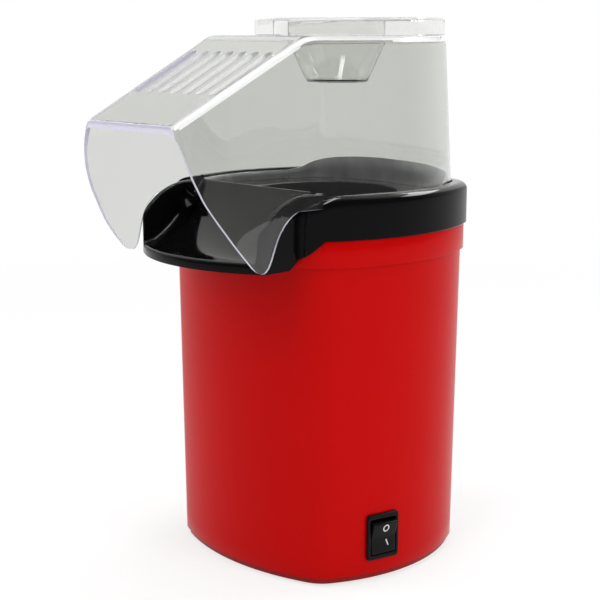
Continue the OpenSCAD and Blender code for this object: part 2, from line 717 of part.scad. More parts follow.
module lead_clamp() color("#222224") {
    translate([gland_x, back_y - 18, foot_z + seat_gap]) difference() {
        translate([-11, -4, 0]) cube([22, 8, gland_z - foot_z + 1]);
        translate([0, -5, gland_z - foot_z]) rotate([-90, 0, 0]) cylinder(r = lead_r, h = 10, $fn = 48);
        for (s = [-1, 1]) translate([s * 7.5, 0, -1]) cylinder(r = pilot_r, h = 40, $fn = 24);
    }
}

louvre_w = 8;
louvre_h = 2.6;
louvre_z = chamber_z + 6;
module popping_chamber() color("#c4c7ca") {
    r = chamber_r;
    difference() {
        translate([0, chamber_y, 0]) rotate_extrude($fn = plan_fn)
            polygon([[0, chamber_z + 5], [12, chamber_z + 4], [r - 9, chamber_z], [r - 3, chamber_z], [r + sheet_t, chamber_z + 4],
                [r + sheet_t, can_top + seat_gap], [r + 1.8, can_top + seat_gap], [r + 1.8, can_top + 1.2],
                [r + sheet_t, can_top + 2], [r + sheet_t, chamber_top], [r, chamber_top],
                [r, chamber_z + 4.4], [r - 3.4, chamber_z + sheet_t], [r - 9, chamber_z + sheet_t],
                [12, chamber_z + 4 + sheet_t], [0, chamber_z + 5 + sheet_t]]);
        round_axis(louvre_n) translate([r - 3, -louvre_w / 2, louvre_z]) rotate([0, -20, 0]) cube([8, louvre_w, louvre_h]);
        round_axis(louvre_n, 180 / louvre_n) translate([r - 3, -louvre_w / 2, louvre_z + 7]) rotate([0, -20, 0])
            cube([8, louvre_w, louvre_h]);
    }
    // deflector blades that give the air its swirl
    round_axis(louvre_n) translate([r - 0.05, -louvre_w / 2, louvre_z - 0.8]) rotate([0, 0, 12]) cube([sheet_t, louvre_w, louvre_h]);
}

can_top = chute_z - 5;
module heater_can() color("#a9acaf") {
    difference() {
        union() {
            translate([0, chamber_y, 0]) rotate_extrude($fn = plan_fn)
                polygon([[can_r - sheet_t, can_z], [can_r + 2.5, can_z], [can_r + 2.5, can_z + sheet_t],
                    [can_r, can_z + sheet_t], [can_r, can_top], [chamber_r + sheet_t + seat_gap, can_top],
                    [chamber_r + sheet_t + seat_gap, can_top - sheet_t], [can_r - sheet_t, can_top - sheet_t]]);
            at_tabs() translate([0, 0, can_z]) tab(can_r, sheet_t);
        }
        at_tabs() translate([0, 0, can_z - 1]) cylinder(r = hole_r, h = 3, $fn = 32);
    }
}

// Two mica plates halved together into a cross, notched for the heating wire
mica_t = 0.8;
mica_x = can_r - sheet_t - 0.3;
coil_pitch = (mica_h - 6) / coil_turns;
module mica_frame() color("#cdbf9a") {
    notch = 2 * wire_r + 0.6;
    translate([0, chamber_y, 0]) difference() {
        union() {
            translate([-mica_x, -mica_t / 2, mica_z]) cube([2 * mica_x, mica_t, mica_h]);
            translate([-mica_t / 2, -mica_x, mica_z]) cube([mica_t, 2 * mica_x, mica_h]);
        }
        for (q = [0:3], k = [0:coil_turns - 1]) rotate([0, 0, q * 90])
            translate([coil_r - notch / 2, -2, mica_z + 3 + (k + q / 4) * coil_pitch - notch / 2]) cube([notch, 4, notch]);
    }
}

// A tube of n sides swept along points, closed at both ends
module sweep(path, r, n = 8) {
    last = len(path) - 1;
    rings = [for (i = [0:last])
        let (dir = path[min(i + 1, last)] - path[max(i - 1, 0)], along = dir / norm(dir),
            side = cross(along, [0, 0, 1]) / norm(cross(along, [0, 0, 1])), up = cross(side, along))
        for (k = [0:n - 1]) path[i] + r * (cos(360 * k / n) * side + sin(360 * k / n) * up)];
    polyhedron(rings, concat(lids(last + 1, n), skin(last + 1, n)));
}

coil_steps = 20;
module heater_coil() color("#8d8f92") {
    n = (coil_turns - 0.25) * coil_steps;
    sweep([for (i = [0:n]) [coil_r * cos(360 * i / coil_steps), chamber_y + coil_r * sin(360 * i / coil_steps),
        mica_z + 3 + coil_pitch * i / coil_steps]], wire_r, 6);
}

// Bimetal thermostat, flat against the can's side
therm_r = 6;
module thermostat() color("#d8c9a8") {
    translate([-can_r - seat_gap, chamber_y, can_top - 22]) rotate([0, -90, 0]) {
        cylinder(r = therm_r, h = 4.5, $fn = 48);
        translate([0, 0, 4.4]) cylinder(r = therm_r - 2, h = 1, $fn = 48);
        for (s = [-1, 1]) translate([-0.4, s * (therm_r + 1) - 2, 1.5]) cube([0.8, 4, 2]);
    }
}

module thermal_fuse() color("#c8cace") {
    translate([0, chamber_y - can_r - 2 - seat_gap, can_top - 26]) {
        rotate([0, 90, 0]) translate([0, 0, -5.5]) cylinder(r = 2, h = 11, $fn = 32);
        rotate([0, 90, 0]) translate([0, 0, -14]) cylinder(r = 0.5, h = 28, $fn = 16);
    }
}

tab_ring = can_r + 4.5;
tab_r = 4.5;
tab_first = 30;
module at_tabs() {
    round_axis(3, tab_first) translate([tab_ring, 0, 0]) children();
}

// A tab that joins the ring of the given radius
module tab(r_in, h) {
    cylinder(r = tab_r, h = h, $fn = 40);
    translate([r_in - tab_ring, -tab_r, 0]) cube([tab_ring - r_in, 2 * tab_r, h]);
}

module can_screws() color("silver") {
    at_tabs() translate([0, 0, can_z + sheet_t]) mirror([0, 0, 1]) screw(7);
}

shroud_in = fan_r + 1.2;
shroud_t = 2;
ear_t = 3;
module fan_shroud() color("#2a2b2e") {
    difference() {
        union() {
            translate([0, chamber_y, 0]) rotate_extrude($fn = plan_fn)
                polygon([[shroud_in, shroud_z], [shroud_in + shroud_t, shroud_z], [shroud_in + shroud_t, can_z - 6],
                    [can_r + 2, can_z - 2], [can_r + 2, can_z - seat_gap], [can_r - 2, can_z - seat_gap],
                    [shroud_in, can_z - 6 + 1]]);
            at_tabs() translate([0, 0, can_z - 8]) tab(can_r - 4, 8 - seat_gap);
            at_posts() translate([0, 0, shroud_z]) {
                cylinder(r = post_r + 1.5, h = ear_t, $fn = 40);
                translate([shroud_in + shroud_t / 2 - post_ring, -4, 0]) cube([post_ring - shroud_in - shroud_t / 2, 8, ear_t]);
            }
        }
        at_tabs() translate([0, 0, can_z - 9]) cylinder(r = pilot_r, h = 10, $fn = 32);
        at_posts() translate([0, 0, shroud_z - eps]) cylinder(r = hole_r, h = ear_t + 2 * eps, $fn = 32);
    }
}

motor_boss_r = 5;
motor_hole_ring = 9;
module motor_bracket() color("#5b5e62") {
    translate([0, 0, motor_top]) difference() {
        union() {
            translate([0, chamber_y, 0]) {
                tube(shroud_in + shroud_t, shroud_in - 2, bracket_t);
                cylinder(r = motor_r + 1, h = bracket_t, $fn = 64);
            }
            round_axis(3, post_first) {
                translate([motor_r, -5, 0]) cube([post_ring - motor_r, 10, bracket_t]);
                translate([post_ring, 0, 0]) cylinder(r = post_r + 1.5, h = bracket_t, $fn = 40);
            }
        }
        translate([0, chamber_y, -eps]) cylinder(r = motor_boss_r + 0.1, h = bracket_t + 1, $fn = 48);
        at_posts() translate([0, 0, -eps]) cylinder(r = hole_r, h = bracket_t + 1, $fn = 32);
        round_axis(2, 90) translate([motor_hole_ring, 0, -eps]) cylinder(r = hole_r, h = bracket_t + 1, $fn = 32);
    }
}

module shroud_screws() color("silver") {
    at_posts() translate([0, 0, shroud_z + ear_t]) mirror([0, 0, 1]) screw(16);
}

module motor_screws() color("silver") {
    round_axis(2, 90) translate([motor_hole_ring, 0, motor_top + bracket_t]) mirror([0, 0, 1]) screw(bracket_t + 1.4);
}

can_wall = 1;
motor_end = 1.6;
cap_h = 4;
module motor_can() color("#b4b6b9") {
    translate([0, chamber_y, 0]) difference() {
        rotate_extrude($fn = plan_fn) polygon([[shaft_r + run_gap, motor_top - motor_end], [motor_r - can_wall, motor_top - motor_end],
            [motor_r - can_wall, motor_z], [motor_r, motor_z], [motor_r, motor_top], [motor_boss_r, motor_top],
            [motor_boss_r, motor_top + 2], [shaft_r + run_gap, motor_top + 2]]);
        for (q = [0, 180]) rotate([0, 0, 90 + q]) translate([motor_hole_ring, 0, motor_top - motor_end - 1])
            cylinder(r = pilot_r, h = 6, $fn = 32);
    }
}

magnet_t = 3.2;
module motor_magnets() color("#3a3a3d") {
    r = motor_r - can_wall - 0.05;
    translate([0, chamber_y, motor_z + 3]) intersection() {
        tube(r, r - magnet_t, motor_h - 10);
        for (q = [0, 180]) rotate([0, 0, q]) translate([0, -r * 0.7, 0]) cube([r, r * 1.4, motor_h]);
    }
}

module motor_cap() color("#e8e6df") {
    translate([0, chamber_y, motor_z - cap_h]) difference() {
        union() {
            cylinder(r = motor_r - 0.5, h = cap_h, $fn = 64);
            cylinder(r = motor_r - can_wall - 0.1, h = cap_h + 2, $fn = 64);
            for (s = [-1, 1]) translate([-2, s * 8 - 0.3, -3]) cube([4, 0.6, 4]);
        }
        translate([0, 0, 1]) cylinder(r = shaft_r + run_gap, h = 10, $fn = 48);
        translate([0, 0, cap_h - 1]) cylinder(r = 7, h = 5, $fn = 48);
    }
}

rotor_r = motor_r - can_wall - magnet_t - 0.6;
module motor_rotor() color("#7d4a2a") {
    translate([0, chamber_y, 0]) difference() {
        union() {
            translate([0, 0, motor_z + 6]) cylinder(r = rotor_r - 2, h = motor_h - 15, $fn = 48);
            // three wound poles
            translate([0, 0, motor_z + 5]) intersection() {
                cylinder(r = rotor_r, h = motor_h - 13, $fn = 64);
                for (i = [0:2]) rotate([0, 0, i * 120]) translate([0, -rotor_r * 0.62, 0]) cube([rotor_r, rotor_r * 1.24, motor_h]);
            }
            translate([0, 0, motor_z]) cylinder(r = 3, h = 8, $fn = 32);
        }
        translate([0, 0, motor_z - 1]) cylinder(r = shaft_r, h = motor_h, $fn = 48);
    }
}

module motor_shaft() color("#d5d7da") {
    translate([0, chamber_y, motor_z - cap_h + 1.2]) cylinder(r = shaft_r, h = fan_z + 12 - motor_z + cap_h - 1.2, $fn = 48);
}

// Fan with twisted blades on a domed hub, pressed on the motor shaft
fan_hub_r = 10;
blade_t = 1.4;
blade_twist = 28;
module fan_wheel() color("#1b1c1e") {
    translate([0, chamber_y, fan_z]) {
        difference() {
            rotate_extrude($fn = plan_fn) polygon(concat([[0, 0], [fan_hub_r, 0], [fan_hub_r, fan_h - 4]],
                [for (i = [1:6]) [fan_hub_r * cos(15 * i), fan_h - 4 + 4 * sin(15 * i)]]));
            translate([0, 0, -1]) cylinder(r = shaft_r, h = 13, $fn = 48);
        }
        for (i = [0:fan_n - 1]) rotate([0, 0, i * 360 / fan_n])
            linear_extrude(height = fan_h - 3, twist = -blade_twist, slices = 5, $fs = 40)
                translate([fan_hub_r - 1, -blade_t / 2]) square([fan_r - fan_hub_r + 0.95, blade_t]);
    }
}

board_z = motor_z - cap_h - 4.6;
module rectifier_board() color("#2f6b3c") {
    translate([0, chamber_y, board_z]) difference() {
        cylinder(r = motor_r - 0.5, h = 1.6, $fn = 64);
        for (s = [-1, 1]) translate([-2.2, s * 8 - 0.5, -1]) cube([4.4, 1, 4]);
    }
}

module diodes() color("#202022") {
    for (i = [0:3]) translate([-2.6, chamber_y - 5.4 + i * 3.6, board_z - 1.4]) rotate([0, 90, 0])
        cylinder(r = 1.35, h = 5.2, $fn = 24);
}

housing();
base_plate();
feet();
base_screws();
collar();
collar_screws();
rim_strip();
hood();
measuring_cup();
switch_frame();
switch_rocker();
switch_contacts();
cord_gland();
lead_clamp();
popping_chamber();
heater_can();
can_screws();
mica_frame();
heater_coil();
thermostat();
thermal_fuse();
fan_shroud();
shroud_screws();
fan_wheel();
motor_shaft();
motor_rotor();
motor_can();
motor_magnets();
motor_cap();
motor_bracket();
motor_screws();
rectifier_board();
diodes();
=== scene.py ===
import math

import bmesh
import bpy
import numpy as np
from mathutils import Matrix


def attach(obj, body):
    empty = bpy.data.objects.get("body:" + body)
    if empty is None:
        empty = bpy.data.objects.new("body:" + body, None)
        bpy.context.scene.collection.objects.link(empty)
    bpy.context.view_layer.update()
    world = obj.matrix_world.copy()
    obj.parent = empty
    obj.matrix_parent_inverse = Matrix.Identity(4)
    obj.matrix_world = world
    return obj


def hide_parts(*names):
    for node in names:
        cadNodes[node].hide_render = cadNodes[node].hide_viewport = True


# Popcorn maker in red and black with a clear hood. Shapes are worked out in millimetres and become metres in
# makeObject; lamps and camera are placed in metres.
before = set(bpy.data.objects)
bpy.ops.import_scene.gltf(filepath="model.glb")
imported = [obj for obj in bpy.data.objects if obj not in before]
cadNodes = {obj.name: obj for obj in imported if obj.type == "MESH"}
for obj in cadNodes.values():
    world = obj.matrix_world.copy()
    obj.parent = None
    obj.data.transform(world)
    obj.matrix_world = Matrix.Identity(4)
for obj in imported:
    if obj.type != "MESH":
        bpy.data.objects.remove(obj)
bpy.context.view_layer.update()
scene = bpy.context.scene
scene.view_settings.view_transform = "Standard"
mm = 0.001

cameraSet = {"place": (0.52499, -0.50542, 0.28252), "tilt": 78.715, "turn": 46.877, "lens": 80.445, "sensor": 36.0,
             "clip": (0.02, 60.0)}


# The camera: tilt is measured from straight down, turn about the upright axis, both in degrees
def placeCamera(s):
    data = bpy.data.cameras.new("camera")
    data.lens, data.sensor_width = s["lens"], s["sensor"]
    data.clip_start, data.clip_end = s["clip"]
    camera = bpy.data.objects.new("camera", data)
    camera.location = s["place"]
    camera.rotation_euler = (math.radians(s["tilt"]), 0.0, math.radians(s["turn"]))
    scene.collection.objects.link(camera)
    scene.camera = camera


# sRGB hex to linear: a straight line below 0.04045, above it a power of 2.4
def linear(hexText, alpha=1.0):
    part = [int(hexText[i:i + 2], 16) / 255 for i in (0, 2, 4)]
    return tuple(c / 12.92 if c <= 0.04045 else ((c + 0.055) / 1.055) ** 2.4 for c in part) + (alpha,)


white = linear("ffffff")


# Adds one node. An input is a plain value, the socket that feeds it, or a node that feeds it by its first output.
def addNode(tree, kind, inputs=None, **settings):
    node = tree.nodes.new(kind)
    for key, value in settings.items():
        setattr(node, key, value)
    for key, value in (inputs or {}).items():
        value = value.outputs[0] if isinstance(value, bpy.types.Node) else value
        if isinstance(value, bpy.types.NodeSocket):
            tree.links.new(value, node.inputs[key])
        else:
            node.inputs[key].default_value = value
    return node


worldSet = {"ambient": 0.5, "backdrop": 1.0, "roomFront": 0.22, "roomBack": 0.95, "backTurn": 136.9, "backRise": 0.15,
            "dimBelow": -0.2, "lightAbove": 0.75}


# The room, by direction alone: rays that were mirrored, inside a clear wall too, see a white sweep on the far side and
# a dim room on the near side. The camera and straight looks through clear plastic see plain white.
def makeWorld(s):
    world = bpy.data.worlds.new("studio")
    scene.world = world
    world.use_nodes = True
    tree = world.node_tree
    tree.nodes.clear()
    direction = addNode(tree, "ShaderNodeTexCoord").outputs["Generated"]
    angle = math.radians(s["backTurn"])
    back = addNode(tree, "ShaderNodeVectorMath", {0: direction, 1: (math.cos(angle), math.sin(angle), s["backRise"])},
                   operation="DOT_PRODUCT").outputs["Value"]
    sweep = addNode(tree, "ShaderNodeMapRange", {"Value": back, "From Min": s["dimBelow"], "From Max": s["lightAbove"],
                    "To Min": s["roomFront"], "To Max": s["roomBack"]}, interpolation_type="SMOOTHSTEP")
    path = addNode(tree, "ShaderNodeLightPath").outputs
    mirrored = addNode(tree, "ShaderNodeMath", {0: path["Glossy Depth"], 1: 0.5}, operation="GREATER_THAN")
    straight = addNode(tree, "ShaderNodeMath", {0: path["Is Transmission Ray"], 1: mirrored}, operation="SUBTRACT",
                       use_clamp=True)
    seen = addNode(tree, "ShaderNodeMath", {0: path["Is Camera Ray"], 1: straight}, operation="MAXIMUM")
    inMirror = addNode(tree, "ShaderNodeMath", {0: path["Is Glossy Ray"], 1: mirrored}, operation="MAXIMUM")
    glossy = addNode(tree, "ShaderNodeMix", {"Factor": inMirror, "A": s["ambient"], "B": sweep})
    level = addNode(tree, "ShaderNodeMix", {"Factor": seen, "A": glossy, "B": s["backdrop"]})
    sky = addNode(tree, "ShaderNodeBackground", {"Color": white, "Strength": level})
    addNode(tree, "ShaderNodeOutputWorld", {"Surface": sky})


lampSet = [
    {"name": "overheadSoftbox", "place": (0.1, -0.25, 1.3), "aim": (0, 0, 0.15), "size": (0.22, 1.3), "power": 8.0,
     "mirrored": True},
    {"name": "leftSoftbox", "place": (-0.95, -0.95, 0.75), "aim": (0, -0.02, 0.15), "size": (0.5, 0.9), "power": 8.0,
     "mirrored": False},
    {"name": "rightSoftbox", "place": (1.25, 0.15, 0.7), "aim": (0, 0, 0.15), "size": (0.4, 0.9), "power": 7.0,
     "mirrored": False},
    {"name": "backSoftbox", "place": (0.2, 0.95, 1.05), "aim": (0, 0, 0.18), "size": (1.0, 0.3), "power": 5.5,
     "mirrored": True},
]


# A softbox that faces its aim; one that isn't mirrored lights the object and stays out of its reflections
def addLamp(s):
    data = bpy.data.lights.new(s["name"], "AREA")
    data.shape = "RECTANGLE"
    data.size, data.size_y = s["size"]
    data.energy = s["power"]
    lamp = bpy.data.objects.new(s["name"], data)
    lamp.location = s["place"]
    away = np.array(s["place"]) - np.array(s["aim"])
    flat = math.hypot(away[0], away[1])
    lamp.rotation_euler = (math.atan2(flat, away[2]), 0.0, math.atan2(away[0], -away[1]))
    lamp.visible_glossy = lamp.visible_transmission = s["mirrored"]
    scene.collection.objects.link(lamp)


placeCamera(cameraSet)
makeWorld(worldSet)
for lampItem in lampSet:
    addLamp(lampItem)
print("camera, world and lamps placed")


# Faces of a grid whose vertices are numbered row by row, less the cells that keep leaves out
def gridFaces(rows, columns, wrapRows=False, wrapColumns=False, keep=None):
    i = np.arange(rows if wrapRows else rows - 1)
    j = np.arange(columns if wrapColumns else columns - 1)
    row, column = np.meshgrid(i, j, indexing="ij")
    up, right = (row + 1) % rows, (column + 1) % columns
    quads = np.stack([row * columns + column, row * columns + right, up * columns + right, up * columns + column], -1)
    return (quads.reshape(-1, 4) if keep is None else quads[keep]).tolist()


# Quads between two loops of equally many vertex numbers
def bridge(loopA, loopB):
    a, b = np.asarray(loopA), np.asarray(loopB)
    return np.stack([a, np.roll(a, -1), np.roll(b, -1), b], -1).tolist()


# Points from three coordinates that are arrays or single values
def pointsOf(x, y, z):
    return np.stack(np.broadcast_arrays(x, y, z), -1)


# A grid of points with its faces. With ends, the two open ends of the tube it forms get a face each.
def skin(points, wrapRows=False, wrapColumns=False, ends=False):
    number = np.arange(points.shape[0] * points.shape[1]).reshape(points.shape[:2])
    loops = number if wrapColumns else number.T
    caps = [loops[0].tolist(), loops[-1].tolist()] if ends else []
    return points, gridFaces(*points.shape[:2], wrapRows=wrapRows, wrapColumns=wrapColumns) + caps


# A closed profile of (radius, height) points turned round an upright axis: x = r cos t, y = r sin t
def turned(profile, centre, columns=48):
    r, z = np.asarray(profile, float).T[:, :, None]
    t = np.linspace(0, 2 * np.pi, columns, endpoint=False)
    return skin(pointsOf(centre[0] + r * np.cos(t), centre[1] + r * np.sin(t), z), wrapRows=True, wrapColumns=True)


# One quarter of a round edge, as (across, along) shares of its radius from the first face to the second
def roundEdge(steps):
    a = np.linspace(0, np.pi / 2, steps + 1)
    return 1 - np.cos(a), np.sin(a)


# One object from parts of (points in mm, faces): doubles merged, slivers dissolved, a closed shape's normals outward
def makeObject(name, parts, materials=(), closed=True):
    points, faces, start = [], [], 0
    for partPoints, partFaces in parts:
        points.append(partPoints.reshape(-1, 3))
        faces += [[v + start for v in face] for face in partFaces]
        start += len(points[-1])
    mesh = bpy.data.meshes.new(name)
    mesh.from_pydata((np.concatenate(points) * mm).tolist(), [], faces)
    work = bmesh.new()
    work.from_mesh(mesh)
    bmesh.ops.remove_doubles(work, verts=work.verts, dist=2e-6)
    bmesh.ops.dissolve_degenerate(work, edges=work.edges, dist=1e-6)
    if closed:
        bmesh.ops.recalc_face_normals(work, faces=work.faces)
    work.to_mesh(mesh)
    work.free()
    for material in materials:
        mesh.materials.append(material)
    made = bpy.data.objects.new(name, mesh)
    scene.collection.objects.link(made)
    return made


# One visible piece on its body: finish works on it first, then edges past the angle are kept sharp
def addPiece(name, parts, materials, body, cadNode, sharp=32, finish=None):
    piece = makeObject(name, parts, materials)
    if finish:
        finish(piece)
    mesh = piece.data
    mesh.polygons.foreach_set("use_smooth", np.ones(len(mesh.polygons), bool))
    mesh.set_sharp_from_angle(angle=math.radians(sharp))
    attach(piece, body)
    if cadNode:
        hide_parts(cadNode)


# Normals and centres, in mm, of a mesh's faces
def facesOf(mesh):
    normal, centre = np.empty(len(mesh.polygons) * 3), np.empty(len(mesh.polygons) * 3)
    mesh.polygons.foreach_get("normal", normal)
    mesh.polygons.foreach_get("center", centre)
    return normal.reshape(-1, 3), centre.reshape(-1, 3) / mm


# A node of the frame keeps its mesh and gets a material
def dress(nodeName, material):
    mesh = cadNodes[nodeName].data
    if not mesh.materials:
        mesh.materials.append(material)
    for i in range(len(mesh.materials)):
        mesh.materials[i] = material


# A material of one Principled shader; output is False where the shader is to be mixed with another
def newMaterial(name, surface, output=True):
    material = bpy.data.materials.new(name)
    material.use_nodes = True
    tree = material.node_tree
    tree.nodes.clear()
    shader = addNode(tree, "ShaderNodeBsdfPrincipled", surface)
    if output:
        addNode(tree, "ShaderNodeOutputMaterial", {"Surface": shader})
    return material, tree, shader


# Colour drifts between two near shades over patches of the given size, as in moulded plastic and rolled sheet
def shadeDrift(tree, shader, shades, sizeMm, stretch=(1, 1, 1)):
    place = addNode(tree, "ShaderNodeTexCoord").outputs["Object"]
    scaled = addNode(tree, "ShaderNodeMapping", {"Vector": place, "Scale": stretch})
    noise = addNode(tree, "ShaderNodeTexNoise", {"Vector": scaled, "Scale": 1 / (sizeMm * mm), "Detail": 3.0})
    mix = addNode(tree, "ShaderNodeMix", {"Factor": noise, "A": linear(shades[0]), "B": linear(shades[1])},
                  data_type="RGBA")
    tree.links.new(mix.outputs["Result"], shader.inputs["Base Color"])
    return scaled


# Fine unevenness of the given grain, raised by depthMm
def grainBump(tree, shader, place, sizeMm, depthMm, detail=2.0):
    noise = addNode(tree, "ShaderNodeTexNoise", {"Vector": place, "Scale": 1 / (sizeMm * mm), "Detail": detail})
    bump = addNode(tree, "ShaderNodeBump", {"Height": noise, "Distance": depthMm * mm, "Strength": 1.0})
    tree.links.new(bump.outputs["Normal"], shader.inputs["Normal"])


# Roughness between two values over patches of the given size, as handling and polishing leave it
def roughDrift(tree, shader, place, sizeMm, low, high):
    noise = addNode(tree, "ShaderNodeTexNoise", {"Vector": place, "Scale": 1 / (sizeMm * mm), "Detail": 2.0})
    level = addNode(tree, "ShaderNodeMapRange", {"Value": noise, "From Min": 0.3, "From Max": 0.7, "To Min": low,
                    "To Max": high})
    tree.links.new(level.outputs["Result"], shader.inputs["Roughness"])


# A solid finish: two near shades, roughness that drifts over wider patches than they do, and a fine grain
def opaque(name, shades, patchMm, rough, grainMm, depthMm, surface, stretch=(1, 1, 1)):
    material, tree, shader = newMaterial(name, surface)
    place = shadeDrift(tree, shader, shades, patchMm, stretch)
    roughDrift(tree, shader, place, patchMm * 1.7, rough[0], rough[1])
    grainBump(tree, shader, place, grainMm, depthMm)
    return material


# What a plastic sets on its shader: index of refraction, and how strongly it mirrors (0.5 is its full strength)
def plastic(ior, level=0.5):
    return {"IOR": ior, "Specular IOR Level": level}


# Each finish: two shades, their patch in mm, roughness from and to, grain and its depth in mm, and the shader's values
metal = {"Metallic": 1.0}
# moulded ABS from a polished mould: deep even red, faint slow waves in its reflections
redAbs = opaque("redMouldedAbs", ("b60404", "b00303"), 60, (0.12, 0.18), 26, 0.010, plastic(1.52, 0.05))
# the base plate: the housing's red painted darker with the shade it lies in, and a little duller from a plainer mould
redBaseAbsPaintedShade = opaque("redBaseAbsPaintedShade", ("8e0404", "840303"), 40, (0.22, 0.30), 9, 0.008, plastic(1.52, 0.2))
# moulded polypropylene in high gloss: near black, with crisp highlights along its edges
blackGloss = opaque("blackGlossPolypropylene", ("070708", "050506"), 50, (0.08, 0.12), 22, 0.010, plastic(1.49, 0.08))
# the same plastic where it faces up: there nothing but sky and hood mirrors in it, at its full strength
blackGlossTop = opaque("blackGlossUpperFaces", ("070708", "050506"), 50, (0.05, 0.09), 22, 0.008, plastic(1.49))
# rocker and frame: black nylon with a fine spark-eroded texture of about 0.3 mm that reads as satin
blackNylon = opaque("blackNylonSatin", ("0a0a0b", "070708"), 8, (0.30, 0.40), 0.3, 0.004, plastic(1.53, 0.12))
# soft rubber: dull, with a faint pebble
rubber = opaque("blackRubber", ("1b1b1c", "141415"), 5, (0.62, 0.75), 0.4, 0.02, plastic(1.52))
# bright rolled aluminium sheet; the strong light and dark streaks round the strip are painted reflections in its colour
brightAluminiumPaintedStreaks = opaque("brightAluminiumPaintedReflections", ("f0f0f1", "a3a5a8"), 9, (0.25, 0.5), 3, 0.012, metal, (1, 1, 0.5))
# drawn aluminium of the chamber: duller, toned by heat
drawnAluminium = opaque("drawnAluminium", ("a9abad", "7f8082"), 9, (0.30, 0.45), 1.2, 0.006, metal, (1, 1, 3))
# galvanised sheet: pale spangle a few millimetres across
galvanised = opaque("galvanisedSteel", ("9fa2a5", "888b8f"), 6, (0.32, 0.48), 0.8, 0.004, metal)
# zinc plating: pale and slightly blue, brighter on the screws' heads
zincScrew = opaque("zincPlatedSteel", ("b8babd", "a3a5a9"), 2, (0.22, 0.32), 0.5, 0.002, metal)
# ground steel of shaft and fuse: light and close to a mirror
groundSteel = opaque("groundSteel", ("c8cacd", "b4b6ba"), 3, (0.12, 0.20), 0.5, 0.001, metal)
# rolled brass strip: warm, with slight tarnish
brass = opaque("brassStrip", ("c8a45a", "b08a44"), 3, (0.25, 0.35), 0.6, 0.002, metal)
# copper under brown enamel: fine bands of wound wire about 0.3 mm wide
copper = opaque("enamelledCopper", ("8a4a24", "74391a"), 1.5, (0.28, 0.36), 0.3, 0.01, {"Metallic": 0.9}, (1, 1, 6))
# nickel-chrome wire: grey and dull from its own heat
heatWire = opaque("nickelChromeWire", ("77777a", "5d5b5a"), 4, (0.40, 0.55), 0.4, 0.004, metal)
# pressed mica: straw yellow with flakes of about 5 mm
mica = opaque("micaSheet", ("cdbf95", "b7a677"), 5, (0.35, 0.55), 1.0, 0.01, plastic(1.58))
# pressed and fired steatite: cream and matt
ceramic = opaque("steatiteCeramic", ("ddd3bd", "d0c5ad"), 4, (0.45, 0.60), 0.6, 0.004, plastic(1.6))
# sintered ferrite: charcoal grey, dull and slightly grainy
ferrite = opaque("sinteredFerrite", ("2b2b2d", "222224"), 3, (0.55, 0.70), 0.4, 0.01, plastic(1.6))
# glass-filled nylon: near black, dulled by fibres at its skin
darkPlastic = opaque("glassFilledNylon", ("1e1f21", "17181a"), 6, (0.42, 0.55), 0.5, 0.006, plastic(1.53))
# uncoloured nylon: milky white with a soft sheen
palePlastic = opaque("naturalNylon", ("e2dfd4", "d6d3c6"), 6, (0.35, 0.45), 0.6, 0.004, plastic(1.53))
# glass-epoxy laminate under green varnish: mottled by its weave
boardLaminate = opaque("greenLaminate", ("1f5c38", "174a2c"), 2, (0.30, 0.42), 0.4, 0.004, plastic(1.5))
# pad-printed ink of the switch's two marks: a flat light grey
markInk = opaque("greyMarkInk", ("c9cac8", "bdbebc"), 2, (0.45, 0.55), 0.3, 0.001, plastic(1.5))


# Clear acrylic: see-through walls. Lamp light passes it, so what it covers stays lit.
def clearPlastic(name, hue, rough, passing, clearness=1.0):
    material, tree, shader = newMaterial(name, {"Base Color": linear(hue), "Transmission Weight": clearness,
                                                "IOR": 1.49, "Roughness": rough}, output=False)
    place = addNode(tree, "ShaderNodeTexCoord").outputs["Object"]
    grainBump(tree, shader, place, 38, 0.012, detail=1.0)
    letThrough = addNode(tree, "ShaderNodeBsdfTransparent", {"Color": linear(passing)})
    path = addNode(tree, "ShaderNodeLightPath").outputs
    mix = addNode(tree, "ShaderNodeMixShader", {0: path["Is Shadow Ray"], 1: shader, 2: letThrough})
    addNode(tree, "ShaderNodeOutputMaterial", {"Surface": mix})
    return material


clearWall = clearPlastic("clearAcrylic", "e2e3e0", 0.0, "e8e9e8")
# cut edges carry the light along the sheet and show its lavender cast
clearEdge = clearPlastic("clearAcrylicEdge", "dedaee", 0.18, "e0dcf0", clearness=0.35)
# the cup is moulded thinner and cleaner than the hood
clearCup = clearPlastic("clearCupAcrylic", "fafaf9", 0.0, "f0f0f0")
# painted highlight: a whitish, half-frosted finish that puts a bright line along the eave bends, on the inner slots'
# faces and on the cup's rounded edges
clearBendPaintedHighlight = clearPlastic("clearAcrylicPaintedHighlight", "f6f6f6", 0.12, "f0f0f0", clearness=0.45)

for nodeMaterial, nodeNames in (
        (redAbs, "housing"), (redBaseAbsPaintedShade, "base_plate"), (rubber, "feet"), (blackGloss, "collar"),
        (brightAluminiumPaintedStreaks, "rim_strip"), (clearWall, "hood measuring_cup"), (blackNylon, "switch_frame switch_rocker"),
        (zincScrew, "base_screws collar_screws can_screws shroud_screws motor_screws"), (brass, "switch_contacts"),
        (darkPlastic, "cord_gland lead_clamp fan_shroud fan_wheel diodes"), (drawnAluminium, "popping_chamber"),
        (galvanised, "heater_can motor_can motor_bracket"), (mica, "mica_frame"), (heatWire, "heater_coil"),
        (ceramic, "thermostat"), (groundSteel, "thermal_fuse motor_shaft"), (copper, "motor_rotor"),
        (ferrite, "motor_magnets"), (palePlastic, "motor_cap"), (boardLaminate, "rectifier_board")):
    for nodeName in nodeNames.split():
        dress(nodeName, nodeMaterial)
print("materials made")


bodySet = {"width": 142.0, "depth": 129.4, "bowSide": 95.0, "bowFront": 131.0, "corner": 20.0, "draft": 0.75,
           "footZ": 4.2, "bandZ": 168.0}


